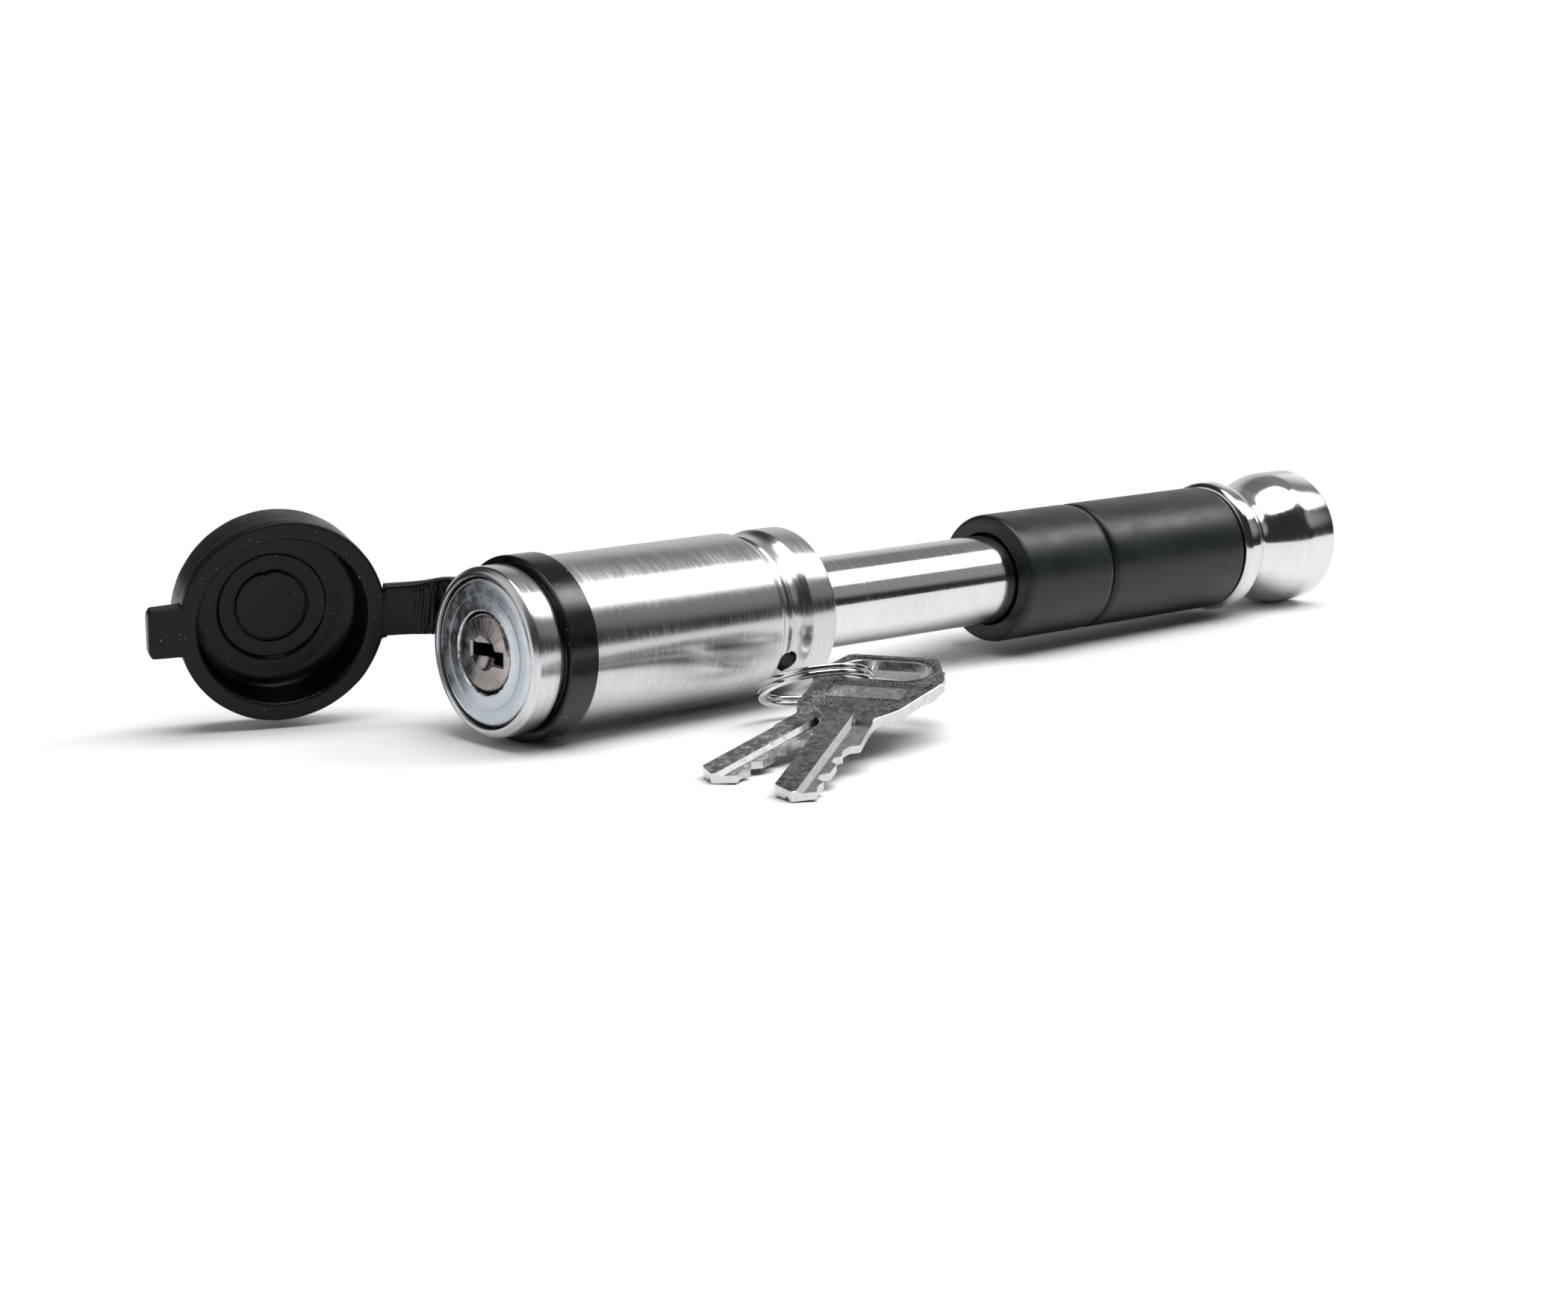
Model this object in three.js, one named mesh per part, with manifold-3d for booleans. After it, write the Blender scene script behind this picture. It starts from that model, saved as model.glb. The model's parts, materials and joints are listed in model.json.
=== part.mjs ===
// Hitch pin lock: a receiver pin with a knob, two spacer sleeves and a keyed lock head that snaps
// over the pin's grooved tip. A rubber dust cap hangs from a ring on the head, and two keys lie
// beside it on a split ring. Millimetres, +Z up, X along the pin from the lock face to the knob.
import * as THREE from 'three';
import { mergeVertices } from 'three/addons/utils/BufferGeometryUtils.js';
import Module from 'manifold-3d';

const wasm = await Module();
wasm.setup();

// ---- Driving dimensions -------------------------------------------------------------------
const GAP = 0.3; // running clearance between neighbouring pieces
const ROUND = 40; // sides of a large turned piece
const SMALL_ROUND = 32; // sides of a small turned piece

const PIN_RADIUS = 7.94; // 5/8 in receiver pin
const HEAD_RADIUS = 14.22; // 1-1/8 in lock barrel
const HEAD_LENGTH = 64; // lock face to clamp face
const LIP_RADIUS = 13.85; // seat of the dust cap, in front of the rubber ring
const RING_SEAT = [5.2, 11.9]; // groove that holds the rubber ring
const RING_SEAT_RADIUS = 13.2;
const DRAIN_GROOVE = [52, 58.3];
const DRAIN_GROOVE_RADIUS = 13.3;
const DRAIN_HOLE_RADIUS = 2;
const DRAIN_HOLE_X = 54.7;
const DRAIN_HOLE_DROP = THREE.MathUtils.degToRad(28); // below the horizontal
const SHOULDER_X = 42.6; // step in the bore that stops the ball cage
const PIN_BORE = PIN_RADIUS + 0.36;
const CORE_RADIUS = 12;
const CORE_END = 27;
const CAVITY_RADIUS = 11.5; // bore behind the core
const SEAL = { x: 59.5, wire: 0.95, groove: 10.5, halfGroove: 1.3 };
const CORE_PIN = { x: 8.8, radius: 1.25, from: 9.3, to: 13 }; // upright, under the rubber ring

const PLUG_RADIUS = 6.36;
const PLUG_FACE = 0.1; // almost level with the lock face
const PLUG_REAR = 29;
const CLIP = { groove: [27.35, 28.35], root: 5.2, bore: 5.5, radius: 7.8, thick: 0.5 };
const TANG = { length: 2.3, thick: 3, wide: 8 };
const KEYWAY_END = 24;
const KEYWAY_WIDE = { y: [-2.3, 3.2], z: [-0.75, 1.45] }; // the two halves of its Z-shaped slot
const KEYWAY_STEP = { y: [-4.9, -2.2], z: [-1.55, 0.5] };
const FACE_RECESS = { radius: 2.9, depth: 0.7 };
const WAFER_COUNT = 5;
const WAFER_FIRST = 5.2;
const WAFER_PITCH = 3.7;
const WAFER_THICK = 0.8;
const WAFER_HALF_WIDTH = 2.6;
const WAFER_WINDOW = { y: [-5, 3.9], z: [-1.7, 1.6] };
const WAFER_OFFSETS = [-0.4, 0.2, -0.1, 0.4, 0]; // how far along Y each wafer's window sits
const WAFER_GROOVE = { reach: 8.4, half: 2.9 }; // slots in the core that the wafers drop into
const SPRING = { coil: 0.62, wire: 0.16, length: 3.4, turns: 4, z: 4 };

const CAM = { start: 29.6, web: 31.6, end: 38.2, radius: 11.1 };
const BALL_X = 35.5;
const BALL_RADIUS = 2;
const BALL_FREE = 7.1; // ball centre from the axis when the pin is free
const BALL_LOCKED = 5.5; // ball centre when it sits in the pin's groove
const CAM_RELIEF = 0.25; // cam profile beyond the ball
const BALL_GROOVE = BALL_RADIUS + 0.35; // round groove in the pin's tip
const CAGE = { start: 32, flange: 38.9, end: 42.3, bore: 5.2, nose: 7.2, radius: 11.2 };

const TIP_START = 32;
const TIP_RADIUS = 4.9;
const TAPER = [42.6, 45.2];
const COLLAR_X = 172; // 108 mm from the clamp face: the pin's clamp span
const COLLAR_RADIUS = 12.2;
const NECK = { x: 178.8, radius: 9.65 };
const KNOB = { x: 190.8, radius: 12.64, end: 197.3 };

const SLEEVE_BORE = 8.4;
const SLEEVE_RADIUS = 11.54;
const SHORT_SLEEVE = [113.3, 135.6];
const LONG_SLEEVE = [135.9, 171.7];

const RUBBER_RING = { start: 6, end: 11.6, bore: 13.5, radius: 15.15 };
const CAP = { mouth: 5.5, back: -4.5, floor: -2.3, bore: 14.15, wall: 16.8, rim: 17.1, plate: 2.4 };
const CAP_TAB = { width: 8.4, reach: 22, corner: 1.4 };
const CAP_DISC_RADIUS = 5.9;
// The cap and strap sit turned round the head, so that the strap leaves it above the level.
const CAP_TURN = THREE.MathUtils.degToRad(9.6);
const CAP_OPEN = THREE.MathUtils.degToRad(110.05); // open angle at rest
const CAP_PIVOT = new THREE.Vector3(4.5, 23.21, 0);
const CAP_AXIS = new THREE.Vector3(-0.0452, 0.0457, 1).normalize();
const STRAP = { thick: 2.4, width: 9, riseAtRing: 1.8, riseAtCap: -0.6, ringX: 8.8 };

const KEY_THICK = 1.8;
const KEY = { blade: 3.7, joint: 30, base: 34.5, widest: 47.6, end: 57.2 };
const KEY_BOW = { base: 7.2, widest: 11.2, end: 7.6 };
const KEY_SLOT = { near: 46.8, far: 54.8, reach: 7.8 };
const KEY_SHOULDER = 20.5;
const KEY_BACK_SHOULDER = 23;
const KEY_CUTS = [0.9, 2, 0.6, 1.7, 1.1]; // depth of each bitting cut
const KEY_GROOVE = { width: 1.2, depth: 0.45, q: -0.5, end: 31 };
const SPLIT_RING = { radius: 9, radial: 1.2, axial: 1.9 };

// How the pieces lie: the pin rests on the rubber ring and the knob, so it tips slightly.
const FACE_HEIGHT = 15.27; // lock face centre above the table
const REST_SPAN = 184; // from the ring's middle to the knob's rim
const LIE_TILT = Math.asin((RUBBER_RING.radius - KNOB.radius) / REST_SPAN);
const KEY_POSES = [
  { name: 'key_1', tip: [10.3, -43.95, 0.84], turn: 14.5, lift: 7 },
  { name: 'key_2', tip: [11.45, -61, 0.86], turn: 30.7, lift: 9.9 },
];
const RING_POSE = { centre: [49.08, -24.84, 6.94], normal: [0.212, 0.491, 1] };

// ---- Materials ----------------------------------------------------------------------------
const paint = (color, roughness, metalness) =>
  new THREE.MeshStandardMaterial({ color, roughness, metalness });
const STAINLESS = paint(0xc9cacc, 0.32, 1);
const POLISHED = paint(0xd6d7d9, 0.18, 1);
const ZINC = paint(0xaeb4bc, 0.35, 1);
const NICKEL = paint(0xb3aca8, 0.3, 1);
const BRASS = paint(0xc2a25c, 0.35, 1);
const SPRING_STEEL = paint(0x8f9296, 0.35, 1);
const RUBBER = paint(0x1c2021, 0.75, 0);
const BLACK_NYLON = paint(0x222829, 0.45, 0);

// ---- Solids -------------------------------------------------------------------------------
const X_AXIS = new THREE.Vector3(1, 0, 0);
const Y_AXIS = new THREE.Vector3(0, 1, 0);
const Z_AXIS = new THREE.Vector3(0, 0, 1);

function toSolid(geometry) {
  const bare = geometry.clone();
  bare.deleteAttribute('normal');
  bare.deleteAttribute('uv');
  const merged = mergeVertices(bare, 1e-4);
  return new wasm.Manifold(new wasm.Mesh({
    numProp: 3,
    vertProperties: new Float32Array(merged.attributes.position.array),
    triVerts: new Uint32Array(merged.index.array),
  }));
}

function toGeometry(solid) {
  const mesh = solid.getMesh();
  const geometry = new THREE.BufferGeometry();
  geometry.setAttribute('position', new THREE.BufferAttribute(mesh.vertProperties, 3));
  geometry.setIndex(new THREE.BufferAttribute(mesh.triVerts, 1));
  geometry.computeVertexNormals();
  return geometry;
}

const cut = (geometry, ...tools) =>
  toGeometry(tools.reduce((solid, tool) => solid.subtract(toSolid(tool)), toSolid(geometry)));
const join = (geometry, ...others) =>
  toGeometry(others.reduce((solid, other) => solid.add(toSolid(other)), toSolid(geometry)));

// Turns a profile of [x, radius] points about the X axis. It runs along the outside towards +X
// and back along the bore, or from axis to axis.
function turn(profile, sides = ROUND) {
  const closed = profile[0][1] > 0;
  const loop = closed ? [...profile, profile[0]] : profile;
  const points = loop.map(([x, radius]) => new THREE.Vector2(radius, x));
  return new THREE.LatheGeometry(points, sides).rotateZ(-Math.PI / 2);
}

function block(x, y, z) {
  const size = [x, y, z].map(([low, high]) => high - low);
  const centre = [x, y, z].map(([low, high]) => (low + high) / 2);
  return new THREE.BoxGeometry(...size).translate(...centre);
}

// A round bar between two distances along a direction, through a point.
function bar(radius, direction, from, to, through = [0, 0, 0], sides = 20) {
  const geometry = new THREE.CylinderGeometry(radius, radius, to - from, sides);
  geometry.translate(0, (from + to) / 2, 0);
  geometry.applyQuaternion(new THREE.Quaternion().setFromUnitVectors(Y_AXIS, direction));
  return geometry.translate(...through);
}

// Extrudes an outline drawn in the YZ plane along X, from one station to another.
function plateAlongX(shape, from, to, curveSegments = 12) {
  const geometry = new THREE.ExtrudeGeometry(shape, {
    depth: to - from, bevelEnabled: false, curveSegments,
  });
  geometry.applyMatrix4(new THREE.Matrix4().makeBasis(Y_AXIS, Z_AXIS, X_AXIS));
  return geometry.translate(from, 0, 0);
}

const outline = (points) => new THREE.Shape(points.map(([u, v]) => new THREE.Vector2(u, v)));

function piece(name, geometry, material) {
  const mesh = new THREE.Mesh(geometry, material);
  mesh.name = name;
  return mesh;
}

// ---- Lock head ----------------------------------------------------------------------------
const waferX = (index) => WAFER_FIRST + index * WAFER_PITCH;

function makeBarrel() {
  const [seatStart, seatEnd] = RING_SEAT;
  const [grooveStart, grooveEnd] = DRAIN_GROOVE;
  const shell = turn([
    [0, 12.4], [0, 12.9], [0.8, LIP_RADIUS], [seatStart - 0.2, LIP_RADIUS], [seatStart, 13.6],
    [seatStart, RING_SEAT_RADIUS], [seatEnd, RING_SEAT_RADIUS],
    [seatEnd, HEAD_RADIUS - 0.3], [seatEnd + 0.3, HEAD_RADIUS],
    [grooveStart - 0.5, HEAD_RADIUS], [grooveStart, HEAD_RADIUS - 0.4],
    [grooveStart + 0.6, DRAIN_GROOVE_RADIUS], [grooveStart + 3.6, DRAIN_GROOVE_RADIUS],
    [grooveEnd, HEAD_RADIUS - 0.03], [HEAD_LENGTH - 0.5, HEAD_RADIUS - 0.03],
    [HEAD_LENGTH, HEAD_RADIUS - 0.5],
    [HEAD_LENGTH, PIN_BORE + 0.6], [HEAD_LENGTH - 0.6, PIN_BORE],
    [SEAL.x + SEAL.halfGroove, PIN_BORE], [SEAL.x + SEAL.halfGroove, SEAL.groove],
    [SEAL.x - SEAL.halfGroove, SEAL.groove], [SEAL.x - SEAL.halfGroove, PIN_BORE],
    [SHOULDER_X, PIN_BORE], [SHOULDER_X, CAVITY_RADIUS],
    [CORE_END + GAP, CAVITY_RADIUS], [CORE_END + GAP, CORE_RADIUS + GAP], [0.6, CORE_RADIUS + GAP],
  ]);
  const drainDirection = new THREE.Vector3(
    0, -Math.cos(DRAIN_HOLE_DROP), -Math.sin(DRAIN_HOLE_DROP));
  const drainHole = bar(DRAIN_HOLE_RADIUS, drainDirection, 7, 16, [DRAIN_HOLE_X, 0, 0]);
  const corePinHole = bar(CORE_PIN.radius + GAP, Z_AXIS, 11, 15, [CORE_PIN.x, 0, 0], 16);
  return piece('barrel', cut(shell, drainHole, corePinHole), STAINLESS);
}

function makeLockCore() {
  const bore = PLUG_RADIUS + GAP;
  const body = turn([
    [0.3, bore], [0.1, bore + 0.25], [0.25, 9.2], [0.25, 11.4], [0.45, 11.75],
    [0.8, CORE_RADIUS], [CORE_END, CORE_RADIUS], [CORE_END, bore],
  ]);
  const { reach, half } = WAFER_GROOVE;
  const waferGrooves = block(
    [waferX(0) - 1, waferX(WAFER_COUNT - 1) + 3], [-reach, reach], [-half, half]);
  const pinHole = bar(
    CORE_PIN.radius + GAP, Z_AXIS, CORE_PIN.from - GAP, 14, [CORE_PIN.x, 0, 0], 16);
  return piece('lock_core', cut(body, waferGrooves, pinHole), ZINC);
}

function makeCoreRetainingPin() {
  const { x, radius, from, to } = CORE_PIN;
  return piece('core_retaining_pin', bar(radius, Z_AXIS, from, to, [x, 0, 0], 16), SPRING_STEEL);
}

// ---- Key plug, wafers and cam -------------------------------------------------------------
function makeKeyPlug() {
  const [clipStart, clipEnd] = CLIP.groove;
  const body = turn([
    [PLUG_FACE, 0], [PLUG_FACE, PLUG_RADIUS - 0.46], [PLUG_FACE + 0.45, PLUG_RADIUS],
    [clipStart, PLUG_RADIUS], [clipStart, CLIP.root], [clipEnd, CLIP.root], [clipEnd, 6],
    [PLUG_REAR, 6], [PLUG_REAR, 0],
  ], SMALL_ROUND);
  const tang = block(
    [PLUG_REAR - 0.1, PLUG_REAR + TANG.length], [-TANG.thick / 2, TANG.thick / 2],
    [-TANG.wide / 2, TANG.wide / 2]);
  // The keyway and the dimple are cut from just in front of the face.
  const tools = [
    block([-1, KEYWAY_END], KEYWAY_WIDE.y, KEYWAY_WIDE.z),
    block([-1, KEYWAY_END], KEYWAY_STEP.y, KEYWAY_STEP.z),
    bar(FACE_RECESS.radius, X_AXIS, -1, PLUG_FACE + FACE_RECESS.depth, [0, 0, 0], 24),
  ];
  for (let index = 0; index < WAFER_COUNT; index += 1) {
    const x = waferX(index);
    const halfSlot = WAFER_THICK / 2 + GAP;
    const slotWidth = WAFER_HALF_WIDTH + GAP;
    tools.push(block([x - halfSlot, x + halfSlot], [-7, 7], [-slotWidth, slotWidth]));
    tools.push(block([x - 1, x + 1], [-2, 2], [slotWidth - 0.2, SPRING.z + 1.1]));
  }
  return piece('key_plug', cut(join(body, tang), ...tools), NICKEL);
}

function makeWafer(index) {
  const radius = PLUG_RADIUS - 0.2;
  const corner = Math.asin(WAFER_HALF_WIDTH / radius);
  const shape = new THREE.Shape();
  shape.absarc(0, 0, radius, -corner, corner, false);
  shape.absarc(0, 0, radius, Math.PI - corner, Math.PI + corner, false);
  const [low, high] = WAFER_WINDOW.z;
  const [left, right] = WAFER_WINDOW.y.map((y) => y + WAFER_OFFSETS[index]);
  shape.holes.push(outline([[left, low], [right, low], [right, high], [left, high]]));
  const start = waferX(index) - WAFER_THICK / 2;
  return piece(`wafer_${index + 1}`, plateAlongX(shape, start, start + WAFER_THICK, 6), BRASS);
}

class Helix extends THREE.Curve {
  getPoint(t, target = new THREE.Vector3()) {
    const angle = t * SPRING.turns * Math.PI * 2;
    const along = (t - 0.5) * SPRING.length;
    return target.set(SPRING.coil * Math.cos(angle), along, SPRING.coil * Math.sin(angle));
  }
}

function makeWaferSpring(index) {
  const { wire } = SPRING;
  const section = outline([[wire, 0], [0, wire], [-wire, 0], [0, -wire]]);
  const geometry = new THREE.ExtrudeGeometry(section, {
    steps: SPRING.turns * 8, extrudePath: new Helix(), bevelEnabled: false,
  });
  geometry.translate(waferX(index), 0, SPRING.z);
  return piece(`wafer_spring_${index + 1}`, geometry, SPRING_STEEL);
}

function makePlugClip() {
  const opening = THREE.MathUtils.degToRad(25);
  const shape = new THREE.Shape();
  shape.absarc(0, 0, CLIP.radius, opening, Math.PI * 2 - opening, false);
  shape.absarc(0, 0, CLIP.bore, Math.PI * 2 - opening, opening, true);
  const from = (CLIP.groove[0] + CLIP.groove[1] - CLIP.thick) / 2;
  return piece('plug_clip', plateAlongX(shape, from, from + CLIP.thick, 24), SPRING_STEEL);
}

// Radius of the cam's two-lobed spiral, in degrees about the axis. A ball follows its long rise
// from free, at 0, to locked, at -90; a short return joins each rise to the next.
function camRadius(degrees) {
  const free = BALL_FREE + BALL_RADIUS + CAM_RELIEF;
  const slope = (BALL_FREE - BALL_LOCKED) / 90;
  const riseStart = -100;
  const riseEnd = 10;
  const along = THREE.MathUtils.euclideanModulo(degrees - riseStart, 180) + riseStart;
  if (along <= riseEnd) {
    return free + slope * along;
  }
  const share = (along - riseEnd) / (riseStart + 180 - riseEnd);
  return free + slope * (riseEnd + share * (riseStart - riseEnd));
}

function makeCamRing() {
  const halfThick = TANG.thick / 2 + GAP;
  const halfWide = TANG.wide / 2 + GAP;
  const web = cut(
    bar(CAM.radius, X_AXIS, CAM.start, CAM.web + 0.1, [0, 0, 0], SMALL_ROUND),
    block([CAM.start - 1, CAM.web + 1], [-halfThick, halfThick], [-halfWide, halfWide]));
  const skirt = new THREE.Shape();
  skirt.absarc(0, 0, CAM.radius, 0, Math.PI * 2, false);
  const steps = 48;
  const spiral = [];
  for (let step = 0; step < steps; step += 1) {
    const degrees = (step / steps) * 360;
    const angle = THREE.MathUtils.degToRad(degrees);
    const radius = camRadius(degrees);
    spiral.push([radius * Math.cos(angle), radius * Math.sin(angle)]);
  }
  skirt.holes.push(outline(spiral));
  return piece('cam_ring', join(web, plateAlongX(skirt, CAM.web, CAM.end, 16)), ZINC);
}

// ---- Ball cage, balls and seal ------------------------------------------------------------
function makeBallCage() {
  const body = turn([
    [CAGE.start, CAGE.bore], [CAGE.start, CAGE.nose], [CAGE.flange, CAGE.nose],
    [CAGE.flange, CAGE.radius], [CAGE.end, CAGE.radius], [CAGE.end, CAGE.bore],
  ], SMALL_ROUND);
  const ballHole = bar(BALL_RADIUS + GAP, Y_AXIS, -9, 9, [BALL_X, 0, 0], 20);
  return piece('ball_cage', cut(body, ballHole), STAINLESS);
}

function makeLockingBall(name, side) {
  const geometry = new THREE.SphereGeometry(BALL_RADIUS, 16, 10);
  return piece(name, geometry.translate(BALL_X, side * BALL_FREE, 0), POLISHED);
}

function makePinSeal() {
  const radius = PIN_BORE + 0.05 + SEAL.wire;
  const geometry = new THREE.TorusGeometry(radius, SEAL.wire, 6, SMALL_ROUND);
  geometry.rotateY(Math.PI / 2);
  return piece('pin_seal', geometry.translate(SEAL.x, 0, 0), RUBBER);
}

// ---- Pin and sleeves ----------------------------------------------------------------------
function makeHitchPin() {
  const groove = [-75, -45, -15, 15, 45, 75].map((degrees) => {
    const angle = THREE.MathUtils.degToRad(degrees);
    return [BALL_X + BALL_GROOVE * Math.sin(angle), BALL_LOCKED - BALL_GROOVE * Math.cos(angle)];
  });
  const flare = [];
  const flareSteps = 7;
  for (let step = 0; step <= flareSteps; step += 1) {
    const share = step / flareSteps;
    const rise = (1 - Math.cos(share * Math.PI)) / 2;
    flare.push([NECK.x + share * (KNOB.x - NECK.x),
      NECK.radius + rise * (KNOB.radius - NECK.radius)]);
  }
  return piece('hitch_pin', turn([
    [TIP_START, 0], [TIP_START, TIP_RADIUS - 0.8], [TIP_START + 0.7, TIP_RADIUS], ...groove,
    [TAPER[0], TIP_RADIUS], [TAPER[1], PIN_RADIUS], [COLLAR_X, PIN_RADIUS],
    [COLLAR_X, COLLAR_RADIUS - 0.9], [COLLAR_X + 1.2, COLLAR_RADIUS],
    [COLLAR_X + 3.5, COLLAR_RADIUS], [COLLAR_X + 4.3, COLLAR_RADIUS - 0.4],
    [COLLAR_X + 5.1, COLLAR_RADIUS - 1.5], ...flare, [KNOB.end - 0.8, KNOB.radius],
    [KNOB.end, KNOB.radius - 0.8], [KNOB.end, 10], [KNOB.end - 0.4, 8.8], [KNOB.end - 0.4, 0],
  ]), POLISHED);
}

function makeSleeve(name, [start, end]) {
  const edge = 0.9;
  return piece(name, turn([
    [start, SLEEVE_BORE], [start, SLEEVE_RADIUS - edge], [start + 0.27, SLEEVE_RADIUS - 0.27],
    [start + edge, SLEEVE_RADIUS], [end - edge, SLEEVE_RADIUS],
    [end - 0.27, SLEEVE_RADIUS - 0.27], [end, SLEEVE_RADIUS - edge], [end, SLEEVE_BORE],
  ]), BLACK_NYLON);
}

// ---- Rubber ring, strap and dust cap ------------------------------------------------------
function makeCapRing() {
  const { start, end, bore, radius } = RUBBER_RING;
  return piece('cap_ring', turn([
    [start, bore], [start, radius - 0.35], [start + 0.35, radius],
    [end - 0.35, radius], [end, radius - 0.35], [end, bore],
  ]), RUBBER);
}

// The cap in its closed place, coaxial with the head, mouth towards +X.
function makeDustCap() {
  const { mouth, back, floor, bore, wall, rim, plate } = CAP;
  const cup = turn([
    [back, 0], [back, wall - 1.4], [back + 0.4, wall - 0.4], [back + 1.4, wall],
    [mouth - plate, wall], [mouth - plate, rim], [mouth, rim], [mouth, bore + 0.25],
    [mouth - 0.3, bore], [floor + 0.9, bore], [floor, bore - 1.2], [floor, 9],
    [floor - 0.5, 8.8], [floor - 0.5, 6.2], [floor - 0.9, 6.2], [floor - 0.9, 0],
  ]);
  const half = CAP_TAB.width / 2;
  const { reach, corner } = CAP_TAB;
  const tab = new THREE.Shape();
  tab.moveTo(-15, -half);
  tab.lineTo(-15, half);
  tab.lineTo(-reach + corner, half);
  tab.quadraticCurveTo(-reach, half, -reach, half - corner);
  tab.lineTo(-reach, -half + corner);
  tab.quadraticCurveTo(-reach, -half, -reach + corner, -half);
  return piece('dust_cap', join(cup, plateAlongX(tab, mouth - plate, mouth, 3)), RUBBER);
}

function makeCapDisc() {
  const face = CAP.floor - 0.1;
  return piece('cap_disc', turn([
    [face - 0.5, 0], [face - 0.5, CAP_DISC_RADIUS], [face, CAP_DISC_RADIUS - 0.2], [face, 0],
  ], SMALL_ROUND), RUBBER);
}

// Places a point or direction of the closed cap where it is with the cap swung open.
const capSwing = new THREE.Quaternion().setFromAxisAngle(CAP_AXIS, -CAP_OPEN);
const swungPoint = (x, y) =>
  new THREE.Vector3(x, y, 0).sub(CAP_PIVOT).applyQuaternion(capSwing).add(CAP_PIVOT);

function makeCapStrap() {
  const rimMiddle = CAP.mouth - CAP.plate / 2;
  const start = new THREE.Vector2(STRAP.ringX, RUBBER_RING.radius + GAP + 0.1);
  const rim = swungPoint(rimMiddle, CAP.rim + GAP + 0.1);
  const beyond = swungPoint(rimMiddle, CAP.rim + GAP + 5.1);
  const route = new THREE.CubicBezierCurve(
    start, new THREE.Vector2(start.x, start.y + 5), new THREE.Vector2(beyond.x, beyond.y),
    new THREE.Vector2(rim.x, rim.y));
  const left = [];
  const right = [];
  const samples = 10;
  for (let sample = 0; sample <= samples; sample += 1) {
    const at = route.getPoint(sample / samples);
    const along = route.getTangent(sample / samples);
    const side = new THREE.Vector2(-along.y, along.x).multiplyScalar(STRAP.thick / 2);
    left.push(at.clone().add(side));
    right.unshift(at.clone().sub(side));
  }
  const geometry = new THREE.ExtrudeGeometry(new THREE.Shape([...left, ...right]), {
    depth: STRAP.width, steps: 6, bevelEnabled: false,
  });
  geometry.translate(0, 0, -STRAP.width / 2);
  const point = new THREE.Vector3();
  const places = geometry.attributes.position;
  for (let index = 0; index < places.count; index += 1) {
    point.fromBufferAttribute(places, index);
    const share = THREE.MathUtils.clamp((point.y - start.y) / (rim.y - start.y), 0, 1);
    point.z += THREE.MathUtils.lerp(STRAP.riseAtRing, STRAP.riseAtCap, share);
    // The root follows the ring's round outside, and the rest of the strap is straight across.
    const sag = start.y - Math.sqrt(start.y ** 2 - point.z ** 2);
    point.y -= sag * Math.max(0, 1 - share * 4);
    places.setXYZ(index, point.x, point.y, point.z);
  }
  return piece('cap_strap', geometry, RUBBER);
}

// ---- Keys and split ring ------------------------------------------------------------------
// A key lies flat with its tip at the origin, its bow towards +X and its cuts towards -Y.
function makeKey(name) {
  const { blade, joint, base, widest, end } = KEY;
  const bitting = [];
  const cutPitch = (KEY_SHOULDER - 3.5) / KEY_CUTS.length;
  KEY_CUTS.forEach((depth, index) => {
    const x = 2.4 + index * cutPitch;
    bitting.push([x, -blade + 0.6], [x + 0.8, -blade + depth], [x + 2.2, -blade + depth]);
  });
  const shape = outline([
    [0, 0.3], [1.8, -blade + 0.6], ...bitting,
    [KEY_SHOULDER - 0.8, -blade + 0.6], [KEY_SHOULDER, -blade - 0.9],
    [joint - 3.4, -blade - 0.5], [joint, -blade - 0.4], [base, -KEY_BOW.base],
    [widest, -KEY_BOW.widest], [end, -KEY_BOW.end], [end, KEY_BOW.end],
    [widest, KEY_BOW.widest], [base, KEY_BOW.base], [joint, blade + 0.4],
    [KEY_BACK_SHOULDER, blade + 0.4], [KEY_BACK_SHOULDER - 0.3, blade], [2.6, blade],
  ]);
  const { near, far, reach } = KEY_SLOT;
  const middle = (near + far) / 2;
  const radius = (far - near) / 2;
  const slot = new THREE.Path();
  slot.absarc(middle, reach - radius, radius, 0, Math.PI, false);
  slot.absarc(middle, radius - reach, radius, Math.PI, Math.PI * 2, false);
  shape.holes.push(slot);
  const plate = new THREE.ExtrudeGeometry(shape, {
    depth: KEY_THICK, bevelEnabled: false, curveSegments: 10,
  });
  plate.translate(0, 0, -KEY_THICK / 2);
  const { width, depth, q } = KEY_GROOVE;
  const groove = block([-1, KEY_GROOVE.end], [q - width / 2, q + width / 2],
    [KEY_THICK / 2 - depth, KEY_THICK]);
  return piece(name, cut(plate, groove), NICKEL);
}

function placeKey({ name, tip, turn: heading, lift }) {
  const key = makeKey(name);
  key.position.set(...tip);
  key.rotation.set(0, -THREE.MathUtils.degToRad(lift), THREE.MathUtils.degToRad(heading), 'ZYX');
  return key;
}

function makeSplitRing() {
  const { radius, radial, axial } = SPLIT_RING;
  const inner = radius - radial / 2;
  const outer = radius + radial / 2;
  const half = axial / 2;
  const ring = piece('split_ring', turn([
    [-half, inner], [-half, outer - 0.25], [0.25 - half, outer], [half - 0.25, outer],
    [half, outer - 0.25], [half, inner],
  ]), POLISHED);
  const normal = new THREE.Vector3(...RING_POSE.normal).normalize();
  ring.quaternion.setFromUnitVectors(X_AXIS, normal);
  ring.position.set(...RING_POSE.centre);
  return ring;
}

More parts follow.
